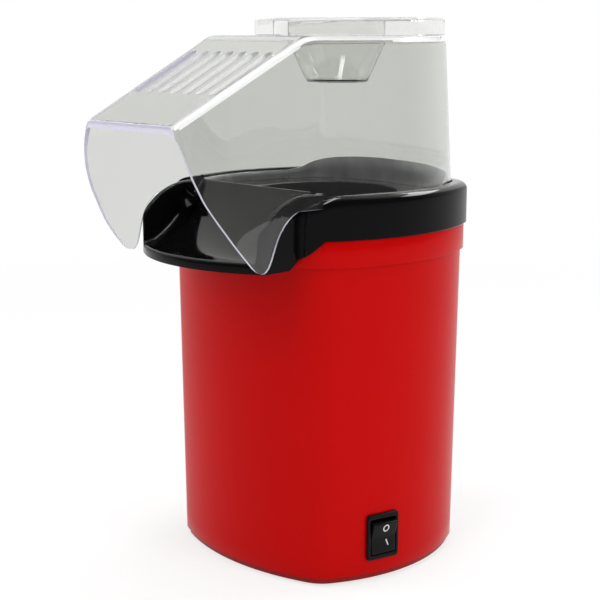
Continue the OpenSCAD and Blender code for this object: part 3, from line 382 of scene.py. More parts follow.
# Centres and spans of the footprint's arcs: a corner's centre is where the two bows, drawn in by its radius, cross
def planArcs(s):
    side, front = np.array([s["width"] / 2 - s["bowSide"], 0.0]), np.array([0.0, s["depth"] / 2 - s["bowFront"]])
    sideArm, frontArm, gap = s["bowSide"] - s["corner"], s["bowFront"] - s["corner"], np.linalg.norm(front - side)
    along = (sideArm * sideArm - frontArm * frontArm + gap * gap) / (2 * gap)
    ahead = (front - side) / gap
    corner = side + along * ahead + math.sqrt(sideArm * sideArm - along * along) * np.array([-ahead[1], ahead[0]])
    return side, front, corner, math.asin(corner[1] / sideArm), math.asin(corner[0] / frontArm)


sideCentre, frontCentre, cornerCentre, sideTurn, frontTurn = planArcs(bodySet)
cornerEnd = math.pi / 2 - frontTurn

# turns, in degrees, where the outline goes from one arc to the next: half way round and all the way
sideDeg, cornerDeg = math.degrees(sideTurn), math.degrees(cornerEnd)
halfKnots = [0, sideDeg, cornerDeg, 90, 180 - cornerDeg, 180 - sideDeg, 180]
allKnots = halfKnots + [180 + sideDeg, 180 + cornerDeg, 270, 360 - cornerDeg, 360 - sideDeg, 360]


# A point of the outline whose normal has the given turn: its arc's centre plus (radius + out) times the normal
def outlineAt(turn, out):
    c, s = np.cos(turn), np.sin(turn)
    fold = np.arctan2(np.abs(s), np.abs(c))
    inSide, inFront = fold < sideTurn, fold > cornerEnd
    cx = np.where(inSide, sideCentre[0], np.where(inFront, 0.0, cornerCentre[0]))
    cy = np.where(inSide, 0.0, np.where(inFront, frontCentre[1], cornerCentre[1]))
    radius = np.where(inSide, bodySet["bowSide"], np.where(inFront, bodySet["bowFront"], bodySet["corner"])) + out
    return np.where(c < 0, -1, 1) * (cx + radius * np.abs(c)), np.where(s < 0, -1, 1) * (cy + radius * np.abs(s))


# Turns between the given knots, in degrees, spaced by about the given step
def spread(knots, step, closed=False):
    parts = [np.linspace(a, b, max(1, round((b - a) / step)) + 1)[:-1] for a, b in zip(knots[:-1], knots[1:])]
    return np.radians(np.concatenate(parts + ([] if closed else [[knots[-1]]])))


# How far the drafted wall has grown out at a height
def grown(z):
    return math.tan(math.radians(bodySet["draft"])) * (np.minimum(z, bodySet["bandZ"]) - bodySet["footZ"])


joinSet = {"highZ": 182.0, "lowZ": 167.5, "from": 53.0, "to": 64.6}


# The line where housing and collar meet: level, then down in a straight line to the chute's underside
def joinZ(y):
    return np.interp(-y, [joinSet["from"], joinSet["to"]], [joinSet["highZ"], joinSet["lowZ"]])


# a hole is (from, to) along its wall and (low, high) above the table; a post is a profile of (radius, height)
housingSet = {"wall": 2.5, "bandProud": 1.6, "step": 1.5, "switchHole": (-28.75, -11.25, 13.75, 35.25),
              "glandHole": (-6.2, 6.2, 15.8, 28.2), "postX": 51.0, "postY": 44.0,
              "lowPost": [(1.25, 4.3), (4.0, 4.3), (4.2, 4.6), (4.2, 25.6), (3.8, 26), (1.25, 26)],
              "highPost": [(1.8, 173), (5.6, 173), (6, 173.4), (6, 175.6), (5.6, 176), (1.8, 176)]}


# Housing: the outline carried up a profile of (height, distance out) rows, out by the draft, and back down inside.
# Cells of a hole are left out of both walls, and its rim is bridged from one wall to the other.
def housingParts(s):
    foot, band, top, proud, wall = bodySet["footZ"], bodySet["bandZ"], joinSet["highZ"], s["bandProud"], s["wall"]
    holes = [([middle + math.degrees(math.asin(place / bow)) for place in hole[:2]],) + hole[2:]
             for middle, bow, hole in ((360, bodySet["bowSide"], s["switchHole"]),
                                       (90, bodySet["bowFront"], s["glandHole"]))]
    turn = spread(sorted(allKnots + holes[0][0] + holes[1][0]), s["step"], closed=True)
    levels = sorted(s["switchHole"][2:] + s["glandHole"][2:])
    outer = [(foot, -0.5), (foot + 0.15, -0.15), (foot + 0.5, 0)]
    outer += [(level, 0) for level in levels + [60, 90, 120, 150, joinSet["lowZ"]]]
    outer += [(band - 0.1, 0.02), (band, 0.15), (band, proud - 0.5), (band + 0.14, proud - 0.15), (band + 0.5, proud),
              (175, proud), (top - 0.5, proud), (top - 0.14, proud - 0.14), (top, proud - 0.5)]
    inner = [(level, -wall) for level in [top, joinSet["lowZ"] - 0.1, 120, 60] + levels[::-1] + [foot]]
    rows = np.array(outer + inner, float)
    z, out = rows[:, 0:1], rows[:, 1:2] + grown(rows[:, 0:1])
    y = outlineAt(turn, out)[1]
    # where the join runs below the band there is only the flush wall
    out = np.where(joinZ(y) < band + 0.05, np.minimum(out, grown(band)), out)
    x, y = outlineAt(turn, out)
    points = pointsOf(x, y, np.minimum(z, joinZ(y)))
    keep, count, walls = np.ones(points.shape[:2], bool), len(turn), []
    outerZ, innerZ = [row[0] for row in outer], [row[0] for row in inner]
    for turns, lowZ, highZ in holes:
        first, last = (int(np.argmin(np.abs(turn - math.radians(t)))) for t in turns)
        low, high = outerZ.index(lowZ), outerZ.index(highZ)
        within = {r: len(outer) + innerZ.index(outerZ[r]) for r in range(low, high + 1)}
        keep[low:high, first:last] = keep[within[high]:within[low], first:last] = False
        loop = ([(r, first) for r in range(low, high)] + [(high, c) for c in range(first, last)]
                + [(r, last) for r in range(high, low, -1)] + [(low, c) for c in range(last, first, -1)])
        walls += bridge([r * count + c for r, c in loop], [within[r] * count + c for r, c in loop])
    parts = [(points, gridFaces(len(rows), count, wrapRows=True, wrapColumns=True, keep=keep) + walls)]
    for sx in (-1, 1):
        for sy in (-1, 1):
            parts += [turned(s[post], (sx * s["postX"], sy * s["postY"])) for post in ("lowPost", "highPost")]
    return parts


addPiece("moulded_housing", housingParts(housingSet), [redAbs], "body", "housing")
print("housing made")


# the nose is the front edge, the ridge is where slope meets roof; foot and roof say how far the wall stands out from
# the housing's outline there
hoodSet = {"seatZ": 198.0, "wallZ": 198.2, "skirtZ": 161.5, "roofZ": 281.0, "noseZ": 240.0, "noseY": -126.5,
           "ridgeY": -45.0, "noseX": 37.0, "ridgeX": 40.0, "lean": 0.165, "leaveY": 15.5, "cornerY": -8.0,
           "foot": -3.2554, "roof": -7.7554, "eave": 5.0, "ridgeCurve": 5.0, "flare": 0.3, "footBlend": 0.8,
           "ridgeBlend": 1.2, "roofBlend": 1.0, "bulge": 2.0, "bulgeFrom": 60.0, "bulgeOver": 30.0, "skirtFlare": 4.0,
           "skirtRun": 66.5, "wall": 2.0, "noseCorner": 3.0, "cupY": 13.0, "cupHole": 26.9, "lidY": -20.0}
hoodRise = math.atan2(hoodSet["roofZ"] - hoodSet["noseZ"], hoodSet["ridgeY"] - hoodSet["noseY"])


# The lower of two values, eased where they cross: their mean less the root of (half their difference squared + k k)
def blendLow(a, b, k):
    return (a + b) / 2 - np.sqrt(((a - b) / 2) ** 2 + k * k)


# The higher of two values, eased in the same way
def blendHigh(a, b, k):
    return (a + b) / 2 + np.sqrt(((a - b) / 2) ** 2 + k * k)


# Half width of the side bow at a distance y, straight on in front of where the wall leaves it
def sideBow(y, out):
    r2, leave = (bodySet["bowSide"] + out) ** 2, hoodSet["leaveY"]
    ahead = np.minimum(leave, -y)
    return sideCentre[0] + np.sqrt(r2 - ahead ** 2) - leave / math.sqrt(r2 - leave ** 2) * np.maximum(0, -y - leave)


# Half width of the hood at its seat: two lines that blend where the wall turns in to the nose
def footX(y, s=hoodSet):
    atNose = s["noseX"] + s["lean"] * (s["noseZ"] - s["seatZ"])
    return blendLow(atNose + s["flare"] * (y - s["noseY"]), sideBow(y, s["foot"]), s["footBlend"])


# Half width along the eave: nearly straight from nose to ridge, then out to the roof's corner
def eaveX(y, s=hoodSet):
    toRidge = s["noseX"] + (s["ridgeX"] - s["noseX"]) * (y - s["noseY"]) / (s["ridgeY"] - s["noseY"])
    reach = sideBow(np.array(s["cornerY"]), s["roof"]) - s["ridgeX"]
    toCorner = s["ridgeX"] + reach * (y - s["ridgeY"]) / (s["cornerY"] - s["ridgeY"])
    return blendLow(blendHigh(toRidge, toCorner, s["ridgeBlend"]), sideBow(y, s["roof"]), s["roofBlend"])


# Height of the top: a slope up from the nose that runs over a short parabola into the flat roof
def topZ(y, s=hoodSet):
    slope, w, u = (s["roofZ"] - s["noseZ"]) / (s["ridgeY"] - s["noseY"]), s["ridgeCurve"], y - s["ridgeY"]
    curve = s["roofZ"] - slope * (w - np.clip(u, -w, w)) ** 2 / (4 * w)
    return np.where(u > w, s["roofZ"], np.where(u < -w, s["roofZ"] + slope * u, curve))


# Half width of the wall at a height: straight from seat to eave with a slight bulge in front, and on below the seat
def wallX(y, z, s=hoodSet):
    bulge = s["bulge"] * np.clip((-y - s["bulgeFrom"]) / s["bulgeOver"], 0, 1)
    up = np.clip((z - s["seatZ"]) / (topZ(y) - s["eave"] - s["seatZ"]), 0, 1.1)
    down = np.clip((s["seatZ"] - z) / (s["seatZ"] - s["skirtZ"]), 0, 1)
    atSkirt = s["noseX"] + s["lean"] * (s["noseZ"] - s["skirtZ"]) + s["skirtFlare"] * (y - s["noseY"]) / s["skirtRun"]
    high = footX(y) + (eaveX(y) - footX(y)) * up + 4 * bulge * up * (1 - up)
    low = footX(y) + (atSkirt - footX(y)) * down + 2 * bulge * down * (1 - down)
    return np.where(z > s["seatZ"], high, low)


# free edge of the hood from nose to seat as (y, z)
freeEdge = np.array([(-126.5, 238.2), (-124.9, 230), (-121.9, 217), (-116.8, 204.6), (-109.4, 192.8), (-104.2, 185.1),
                     (-99.1, 178.7), (-93.5, 172.3), (-90.6, 169.8), (-87.6, 168.9), (-85.6, 169.6), (-83.6, 172),
                     (-81.6, 178.4), (-79.6, 184.9), (-76.2, 190.9), (-72.1, 195.4), (-68, 198.2), (-60, 198.2),
                     (80, 198.2)])


# Height of the free edge: the mean of its broken line over 1.2 mm to either side, which rounds its bends
def freeEdgeZ(y):
    return np.mean([np.interp(y + d, *freeEdge.T) for d in np.linspace(-1.2, 1.2, 7)], axis=0)


# Hood: upright lines that stand on the free edge, lean in by wallX and turn over the eave; the slope and the ridge are
# lines of equal y from eave to eave, and the flat roof runs in to the round seat of the cup.
def hoodParts(s):
    across, along = roundEdge(5)
    frontY = np.concatenate([s["noseY"] + s["noseCorner"] * across, np.linspace(s["noseY"] + 4, -60, 50),
                             np.linspace(-58, -50.5, 4), np.linspace(-50, -40, 9), np.linspace(-37, -8, 12)])
    corner = np.concatenate([s["noseCorner"] * (1 - along), np.zeros(len(frontY) - len(along))])
    low = freeEdgeZ(frontY)
    eave = np.minimum(s["eave"], 0.9 * (topZ(frontY) - low))
    top = topZ(frontY) - eave
    share = np.linspace(0, 1, 12)[:, None]
    z = low + (top - low) * share
    x = wallX(frontY, z) - corner
    a = np.linspace(0, np.pi / 2, 9)[1:, None]
    z = np.concatenate([z, top + eave * np.sin(a)])
    x = np.concatenate([x, x[-1] - eave * (1 - np.cos(a))])
    right = pointsOf(x, frontY, z)
    turn = spread(halfKnots, 1.6)
    out = np.concatenate([s["foot"] + (s["roof"] - s["foot"]) * share, s["roof"] - s["eave"] * (1 - np.cos(a))])
    backTop = s["roofZ"] - s["eave"]
    backZ = np.concatenate([s["wallZ"] + (backTop - s["wallZ"]) * share, s["roofZ"] - s["eave"] * (1 - np.sin(a))])
    behind = pointsOf(*outlineAt(turn, out), backZ)

    # lines across the hood, as shares of its half width
    def crossing(line, shares):
        return line * pointsOf(shares, 1.0, 1.0)

    lip = crossing(right[:, :1], np.linspace(-1, 1, 31)[1:-1])
    walls = np.concatenate([right, behind, right[:, ::-1] * np.array([-1, 1, 1]), lip], 1)
    lastFront = int(np.searchsorted(frontY, s["lidY"]))
    lid = crossing(right[-1, :lastFront + 1, None], np.linspace(1, -1, 31))
    loop = np.concatenate([walls[-1, lastFront:len(frontY) * 2 + len(turn) - lastFront], lid[-1, ::-1][1:-1]])
    angle = np.unwrap(np.arctan2(loop[:, 1] - s["cupY"], loop[:, 0]))
    ring = pointsOf(s["cupHole"] * np.cos(angle), s["cupY"] + s["cupHole"] * np.sin(angle), loop[:, 2])
    flat = loop + (ring - loop) * np.linspace(0, 1, 5)[:, None, None]
    return [skin(walls, wrapColumns=True), skin(lid), skin(flat, wrapColumns=True)]


# start is measured up the slope from the nose; reach is how far the cutter goes below and above the slope
ventSet = {"count": 7, "pitch": 9.8, "width": 4.5, "length": 44.0, "start": 30.0, "reach": (-10.0, 8.0)}


# Vent slots: a long hole with round ends, square to the slope, repeated across it
def ventCutter(s):
    half, t = s["width"] / 2, np.linspace(-np.pi / 2, np.pi / 2, 11)
    straight = s["length"] / 2 - half
    across = np.concatenate([half * np.sin(t), half * np.sin(-t)])
    along = np.concatenate([straight + half * np.cos(t), -straight - half * np.cos(t)]) + s["start"] + s["length"] / 2
    level, sine, cosine = np.array(s["reach"])[:, None], math.sin(hoodRise), math.cos(hoodRise)
    y, z = hoodSet["noseY"] + along * cosine - level * sine, hoodSet["noseZ"] + along * sine + level * cosine
    places = (np.arange(s["count"]) - (s["count"] - 1) / 2) * s["pitch"]
    slots = [skin(pointsOf(across + place, y, z), wrapColumns=True, ends=True) for place in places]
    return makeObject("ventCutter", slots)


# Where the cut faces and bends lie: a box round the slots, whose walls hardly face along the slope's normal; the nose;
# and how far a bend's faces look sideways and up
edgeSet = {"slotX": 32.5, "slotY": (-102, -58), "slotZ": 245, "slotFacing": 0.4, "outerSlotX": -26, "noseY": -125.6,
           "bendSide": 0.2, "bendUp": 0.45, "bendY": 62}


# Gives the hood's skin its wall, cuts the slots, and puts the edge finish (1) and the whitish painted highlight (2) on
# their faces: the highlight goes on the bends and the inner slots
def finishHood(piece, s=edgeSet):
    solid = piece.modifiers.new("wall", "SOLIDIFY")
    solid.thickness, solid.offset = hoodSet["wall"] * mm, -1.0
    solid.use_even_offset = True
    solid.material_offset_rim = 1
    cutter = ventCutter(ventSet)
    cut = piece.modifiers.new("vents", "BOOLEAN")
    cut.operation, cut.object, cut.solver = "DIFFERENCE", cutter, "EXACT"
    shape = bpy.data.meshes.new_from_object(piece.evaluated_get(bpy.context.evaluated_depsgraph_get()))
    piece.modifiers.clear()
    piece.data = shape
    bpy.data.objects.remove(cutter)
    index = np.empty(len(shape.polygons), np.int32)
    shape.polygons.foreach_get("material_index", index)
    normal, centre = facesOf(shape)
    x, y, z = centre.T
    facing = np.abs(normal @ np.array([0, -math.sin(hoodRise), math.cos(hoodRise)]))
    inSlots = ((np.abs(x) < s["slotX"]) & (y > s["slotY"][0]) & (y < s["slotY"][1]) & (z > s["slotZ"])
               & (facing < s["slotFacing"]))
    # the outermost slot's faces keep the edge finish, the other slots' faces get the whitish painted highlight
    index[inSlots] = np.where(x[inSlots] < s["outerSlotX"], 1, 2)
    index[(y < s["noseY"]) & (index == 0)] = 1
    # faces of the eave bends that look sideways and up get the whitish painted highlight
    index[(np.abs(normal[:, 0]) > s["bendSide"]) & (normal[:, 2] > s["bendUp"]) & (index == 0) & (y < s["bendY"])] = 2
    shape.polygons.foreach_set("material_index", index)


addPiece("clear_hood", hoodParts(hoodSet), [clearWall, clearEdge, clearBendPaintedHighlight], "hood_body", "hood",
         sharp=40, finish=finishHood)
print("hood made")


# proud is how far the wall stands out from the housing's outline; the crest is the top of the trough, the waist the
# line below it where the rim part ends, and cheeks are the sides of the chute
collarSet = {"proud": 5.144, "rim": 7.8, "seatZ": 198.0, "seatR": 50.0, "rollZ": 204.0, "roll": 4.0,
             "rollReach": 27.0, "waistX": 46.6, "waistY": -43.5, "wall": 2.4, "hoodGap": 0.3, "narrowY": -8.0,
             "throatY": 4.0, "throatR": 40.2, "neckR": 42.6, "neckZ": 184.0, "lowCrestZ": 190.0, "crestY": -45.0,
             "troughMid": 72.0, "cheekX": 48.6, "troughX": 44.6, "cheekY": -53.0, "cheekEdge": 1.5,
             "cheekReach": 35.0, "nose": 7.0, "fillet": 3.0, "lipR": 86.0, "lipY": -12.0, "lipZ": 173.0,
             "lipEdge": 2.2, "underZ": 167.5, "underFrom": -44.0, "underTo": 4.0, "frontTopZ": 174.0}


# Height of the shoulder's top: level, then down a quarter of an ellipse to the lip
def rollTop(y, s=collarSet):
    drop = np.sqrt(np.clip(1 - (np.minimum(0, y - s["crestY"]) / s["rollReach"]) ** 2, 0, 1))
    return np.where(y < s["crestY"], s["lipZ"] + (s["rollZ"] - s["lipZ"]) * drop, s["rollZ"])


# Collar, rim part: columns run round the outline and back along the crest; rows go up the wall, over the rolled
# shoulder, down to the seat, in to the round throat, and back underneath.
def collarRim(s):
    proud, roll, wall, seatZ = s["proud"], s["roll"], s["wall"], s["seatZ"]
    waistY, throatY, lowZ = s["waistY"], s["throatY"], s["lowCrestZ"]
    lastDeg = math.degrees(math.acos((s["waistX"] + 0.9 - cornerCentre[0]) / (bodySet["corner"] + proud)))
    turn = spread([-lastDeg, -cornerDeg, -sideDeg] + halfKnots + [180 + sideDeg, 180 + cornerDeg, 180 + lastDeg], 1.8)
    crest = np.linspace(-s["waistX"], s["waistX"], 41)[1:-1]

    # points of the outline, and on top of the shoulder
    def ring(out, z):
        return pointsOf(*outlineAt(turn, out), z)

    def onTop(out):
        return ring(out, rollTop(outlineAt(turn, out)[1]))

    # a row: a ring and its way back along the crest
    def closed(ringRow, crestZ, crestY=waistY):
        return np.concatenate([ringRow, pointsOf(crest, crestY, crestZ)])

    wallY = outlineAt(turn, proud)[1]
    join, top = joinZ(wallY), rollTop(wallY)
    foot = join + 0.5
    # the rim narrows where the hood's wall turns in towards the nose
    depth = np.full(len(turn), s["rim"])
    for _ in range(12):
        x, y = outlineAt(turn, proud - depth)
        excess = np.where(y < s["narrowY"], footX(y) + s["hoodGap"] - np.abs(x), 0)
        depth = np.clip(depth - np.maximum(excess, 0) * 0.7, roll + 0.3, s["rim"])
    rows = [closed(ring(proud - 0.4, join + 0.1), lowZ), closed(ring(proud, foot), lowZ)]
    rows += [closed(ring(proud, foot + (top - roll - foot) * share), lowZ + 2 * share) for share in (0.35, 0.7, 1.0)]
    rows += [closed(ring(proud - roll * across, top - roll * (1 - along)), lowZ + 2 + 4 * along)
             for across, along in np.array(roundEdge(8)).T[1:]]
    rimIn = onTop(proud - depth)
    rows += [closed(onTop(proud - (depth + roll) / 2), seatZ - 1.5), closed(rimIn, seatZ - 1)]
    edgeX, edgeY = rimIn[:, 0], rimIn[:, 1] - throatY
    rows.append(closed(pointsOf(edgeX, rimIn[:, 1], np.minimum(seatZ, rimIn[:, 2] - 0.3)), seatZ))
    # the seat reaches in to a circle round the throat and, beyond its sides, to the ends of the waist
    heading = np.arctan2(edgeY, edgeX)
    lowTurn, lowR = math.atan2(waistY - throatY, s["waistX"]), math.hypot(s["waistX"], waistY - throatY)
    sideways = np.abs(np.arctan2(np.sin(heading - np.pi / 2), np.cos(heading - np.pi / 2)))
    lowShare = np.clip((sideways - (np.pi / 2 + 0.1)) / (-lowTurn - 0.1), 0, 1)
    reach = np.minimum(s["seatR"] + (lowR - s["seatR"]) * lowShare, np.hypot(edgeX, edgeY) - 1.0)
    heading = np.where(sideways > np.pi / 2 - lowTurn, np.where(edgeX > 0, lowTurn, np.pi - lowTurn), heading)
    waist = closed(pointsOf(reach * np.cos(heading), throatY + reach * np.sin(heading), seatZ), seatZ)
    angle = np.arctan2(waist[:, 1] - throatY, waist[:, 0])

    # the same columns on a circle round the throat
    def throat(radius, z):
        return pointsOf(radius * np.cos(angle), throatY + radius * np.sin(angle), z)

    inner, outer, under = s["throatR"], s["neckR"], seatZ - wall
    rows += [waist + (throat(inner + 0.6, seatZ) - waist) * share for share in (0, 0.35, 0.7)]
    rows += [throat(radius, z) for radius, z in (
        (inner + 0.8, seatZ), (inner + 0.23, seatZ - 0.23), (inner, seatZ - 0.8), (inner, 191.0), (inner, s["neckZ"]),
        (outer, s["neckZ"]), (outer, 190.0), (outer, under))]
    underSide, underY = np.minimum(under, join + 12), waistY + wall
    rows += [closed(ring(proud - wall - 3, np.minimum(underSide, top - 5)), under, underY),
             closed(ring(proud - wall, np.minimum(underSide, top - 6) - 3), lowZ + 2, underY),
             closed(ring(proud - wall, join + 0.1), lowZ, underY)]
    return skin(np.stack(rows), wrapRows=True, wrapColumns=True)


# Collar, chute part: a closed side view carried across from cheek to cheek. The trough floor is a curve of degree two
# from the crest to the lip, y = crest u u - 2 mid u t + lip t t, z = low + (high - low) u u with u = 1 - t; the cheeks
# follow a quarter ellipse above it until they meet the round front of the lip.
def collarChute(s):
    half, trough, low, high, underZ = s["cheekX"], s["troughX"], s["lipZ"], s["rollZ"], s["underZ"]
    edgeR, filletR, lipR, nose, reach = s["cheekEdge"], s["fillet"], s["lipEdge"], s["nose"], s["cheekReach"]
    a = np.linspace(0, np.pi / 2, 7)
    edge, edgeDrop = edgeR * (1 - np.cos(a)), edgeR - edgeR * np.sin(a)
    # columns from the right cheek's outside to the middle, then mirrored: place across, drop below the cheek's top or
    # rise above the floor, and whether the column is on the cheek
    x = np.concatenate([half - edge, trough + edge[::-1], trough - 0.01 - filletR * (1 - np.cos(a)),
                        np.linspace(trough - filletR, 0, 19)[1:]])
    drop = np.concatenate([edgeDrop, edgeDrop[::-1], filletR * (1 - np.sin(a)), np.zeros(18)])
    onCheek = np.arange(len(x)) < 2 * len(a)
    x, drop, onCheek = np.append(x, -x[-2::-1]), np.append(drop, drop[-2::-1]), np.append(onCheek, onCheek[-2::-1])
    lip = s["lipY"] - np.sqrt(s["lipR"] ** 2 - x ** 2)
    steps = 24
    t = np.linspace(0, 1, steps + 1)[:, None]
    floorY = s["crestY"] * (1 - t) ** 2 - 2 * s["troughMid"] * t * (1 - t) + (lip + lipR) * t ** 2
    floorZ = low + (high - low) * (1 - t) ** 2 + drop
    # the turn along the ellipse where its slope is that of the round front, found by repeated approach
    phase = np.full_like(x, 0.8)
    for _ in range(20):
        sine = np.clip((s["cheekY"] - lip - nose * (1 - np.sin(phase))) / reach, 0, 0.98)
        phase = np.arctan2((high - low) * sine, reach * np.sqrt(1 - sine ** 2))
    endTurn = np.arcsin(sine)
    turnTo = endTurn * t
    tilt = np.arctan2((high - low) * np.sin(turnTo), reach * np.cos(turnTo))
    cheekY = s["cheekY"] - reach * np.sin(turnTo) + drop * np.sin(tilt)
    cheekZ = low + (high - low) * np.cos(turnTo) - drop * np.cos(tilt)
    rows = [(lip + 0.6, underZ), (lip + 0.15, underZ + 0.15), (lip, underZ + 0.6)]
    endZ = low + (high - low) * np.cos(endTurn)
    for share in np.linspace(0, 1, 8):
        p, q = np.pi / 2 + (phase - np.pi / 2) * share, np.pi / 2 * (1 - share)
        rows.append((np.where(onCheek, lip + nose * (1 - np.sin(p)) + drop * np.sin(p), lip + lipR * (1 - np.sin(q))),
                     np.where(onCheek, endZ + nose * (np.cos(p) - np.cos(phase)) - drop * np.cos(p),
                              low + drop - lipR * (1 - np.cos(q)))))
    rows += [(np.where(onCheek, cheekY[i], floorY[i]), np.where(onCheek, cheekZ[i], floorZ[i]))
             for i in range(steps - 1, -1, -1)]
    # over the crest and down behind it, then back underneath to the lip
    back = np.where(onCheek, high - drop, high)
    rows += [(s["crestY"], back), (s["crestY"] + 1.4, back - 0.1), (s["crestY"] + 2.2, back - 0.8),
             (s["crestY"] + 2.5, back - 1.8), (s["crestY"] + 2.5, s["lowCrestZ"])]
    for share in np.linspace(0.1, 0.96, 9):
        i = int(share * steps)
        y = np.where(onCheek, s["underFrom"] + (lip + s["underTo"] - s["underFrom"]) * share, floorY[i])
        below = np.maximum(floorZ[i] - drop - 3.4, underZ + 0.05)
        rows.append((y, np.where(onCheek, np.maximum(joinZ(y) + 0.1, underZ), below)))
    rows.append((lip + s["underTo"], underZ))
    return skin(np.stack([pointsOf(x, y, z) for y, z in rows]), wrapRows=True, ends=True)


# Collar, front wall under the chute: a strip of the outline between housing and chute
def collarFront(s):
    turn, rows = np.radians(np.linspace(253, 287, 31)), []
    for inward, high in ((0, False), (0, True), (s["wall"], True), (s["wall"], False)):
        x, y = outlineAt(turn, s["proud"] - inward)
        rows.append(pointsOf(x, y, s["frontTopZ"] if high else joinZ(y) + 0.1))
    return skin(np.stack(rows), wrapRows=True, ends=True)


# Puts the second material on faces that look up
def finishCollar(piece):
    normal = facesOf(piece.data)[0]
    piece.data.polygons.foreach_set("material_index", (normal[:, 2] > 0.55).astype(np.int32))


addPiece("gloss_collar", [collarRim(collarSet), collarChute(collarSet), collarFront(collarSet)],
         [blackGloss, blackGlossTop], "body", "collar", finish=finishCollar)
print("collar made")


cupSet = {"y": 13.0, "trayR": 35.0, "trayOut": -8.7554, "trayCorner": 4.0, "fromTurn": 7.3, "lowZ": 281.1,
          "topZ": 290.1, "edge": 1.5, "wall": 1.6, "mouthR": 25.0, "bowlR": 26.6, "bowlZ": 277.0, "rimZ": 284.0,
          "footR": 17.0, "footZ": 256.0, "floorR": 16.0}


# The tray's outline by the turn of its normal: the roof's bows behind, a small corner where they end, and a circle
# round the cup in front; the straight between them is the line that touches both.
def trayLoop(inset, s=cupSet):
    start, frontR, cornerR = math.radians(s["fromTurn"]), s["trayR"] - inset, s["trayCorner"] - inset
    cx, cy = outlineAt(np.array(start), s["trayOut"] - s["trayCorner"])
    dx, dy = float(cx), float(cy) - s["y"]
    straight = math.atan2(dy, dx) - math.acos((s["trayR"] - s["trayCorner"]) / math.hypot(dx, dy))
    low, mid = np.linspace(-np.pi / 2, straight, 18), np.linspace(straight, start, 14)
    highX, highY = outlineAt(spread([s["fromTurn"], sideDeg, cornerDeg, 90], 2.2), s["trayOut"] - inset)
    x = np.concatenate([frontR * np.cos(low), cx + cornerR * np.cos(mid), highX])
    y = np.concatenate([s["y"] + frontR * np.sin(low), cy + cornerR * np.sin(mid), highY])
    return np.concatenate([x, -x[-2:0:-1]]), np.concatenate([y, y[-2:0:-1]])


# Measuring cup: one closed skin. Rows go up the tray's rim, over it, in to the mouth, down the bowl to its middle, and
# back up under the tray; rows of the bowl are circles with the same number of points.
def cupParts(s):
    wall, top, low, edge, mouth, bowl = (s[key] for key in ("wall", "topZ", "lowZ", "edge", "mouthR", "bowlR"))
    floorR, floorZ, footR, footZ = s["floorR"], s["footZ"] + wall, s["footR"], s["footZ"]
    outer = [(0.3, low), (0.0, low + 0.3), (0.0, top - edge)]
    outer += [(edge * c, top - edge + edge * h) for c, h in np.array(roundEdge(5)).T[1:]]
    under = [(2.0, top - wall), (wall, top - wall - 0.4), (wall, low + 0.3), (wall - 0.3, low)]
    outer, under = (np.stack([pointsOf(*trayLoop(inset), z) for inset, z in rows]) for rows in (outer, under))
    turn = np.unwrap(np.arctan2(outer[-1, :, 1] - s["y"], outer[-1, :, 0]))
    r, z = np.array([
        (mouth + 0.8, top), (mouth + 0.2, top - 0.2), (mouth, top - 0.8), (mouth, s["rimZ"]), (mouth, s["bowlZ"] + 0.4),
        (21.0, floorZ + 10), (floorR + 0.9, floorZ + 0.9), (floorR + 0.3, floorZ + 0.2), (floorR - 1, floorZ),
        (8, floorZ), (0, floorZ), (0, footZ), (8, footZ), (footR - 1, footZ), (footR - 0.2, footZ + 0.2),
        (footR + 0.3, footZ + 0.9), (22.2, footZ + 11.5), (bowl, s["bowlZ"]), (bowl, s["rimZ"]),
        (bowl, top - wall - 0.5), (bowl + 0.4, top - wall)]).T[:, :, None]
    inner = pointsOf(r * np.cos(turn), s["y"] + r * np.sin(turn), z)
    return [skin(np.concatenate([outer, inner, under]), wrapRows=True, wrapColumns=True)]


# Puts the whitish painted highlight finish on the tray's rounded top edge and round the foot of the bowl
def finishCup(piece, s=cupSet):
    normal, centre = facesOf(piece.data)
    steep, level = np.abs(normal[:, 2]), centre[:, 2]
    rounded = (steep > 0.15) & (steep < 0.97) & ((level > s["topZ"] - s["edge"]) | (level < s["footZ"] + 1))
    piece.data.polygons.foreach_set("material_index", rounded.astype(np.int32))


addPiece("measuring_cup_shell", cupParts(cupSet), [clearCup, clearBendPaintedHighlight], "cup_body", "measuring_cup",
         finish=finishCup)
print("measuring cup made")


stripSet = {"out": -6.556, "thick": 0.8, "from": -24.7, "lowZ": 198.1, "frontZ": 203.0, "backZ": 211.5,
            "riseFrom": 30.0, "riseTo": 58.7, "edge": 0.15}


# Rim strip: the outline drawn in, its top rising smoothly towards the back: z = low + (high - low)(3 f f - 2 f f f)
def stripParts(s):
    turn, rows = spread([s["from"]] + halfKnots + [180 - s["from"]], 1.6), []
    outer, inner = s["out"], s["out"] - s["thick"]
    for out, share in ((outer, 0), (outer, 0.5), (outer, 0.96), (outer - s["edge"], 1), (inner + s["edge"], 1),
                       (inner, 0.96), (inner, 0.5), (inner, 0)):
        x, y = outlineAt(turn, out)
        f = np.clip((y - s["riseFrom"]) / (s["riseTo"] - s["riseFrom"]), 0, 1)
        top = s["frontZ"] + (s["backZ"] - s["frontZ"]) * (3 - 2 * f) * f * f
        rows.append(pointsOf(x, y, s["lowZ"] + (top - s["lowZ"]) * share))
    return [skin(np.stack(rows), wrapRows=True, ends=True)]


addPiece("bright_rim_strip", stripParts(stripSet), [brightAluminiumPaintedStreaks], "body", "rim_strip",
         sharp=50)
print("rim strip made")


# gap is the room under the flat bezel at the middle of the bowed wall
switchSet = {"y": -20.0, "z": 24.5, "gap": 0.266, "proud": 1.7, "depth": 13.0, "wellDepth": 8.0}


# From the switch's own frame (out of the wall, along it, up) to the object's
def onWall(out, along, up, s=switchSet):
    turn = math.asin(s["y"] / bodySet["bowSide"])
    c, k = math.cos(turn), math.sin(turn)
    baseX = sideCentre[0] + (bodySet["bowSide"] + grown(s["z"])) * c
    return pointsOf(baseX + out * c - along * k, s["y"] + out * k + along * c, s["z"] + up)


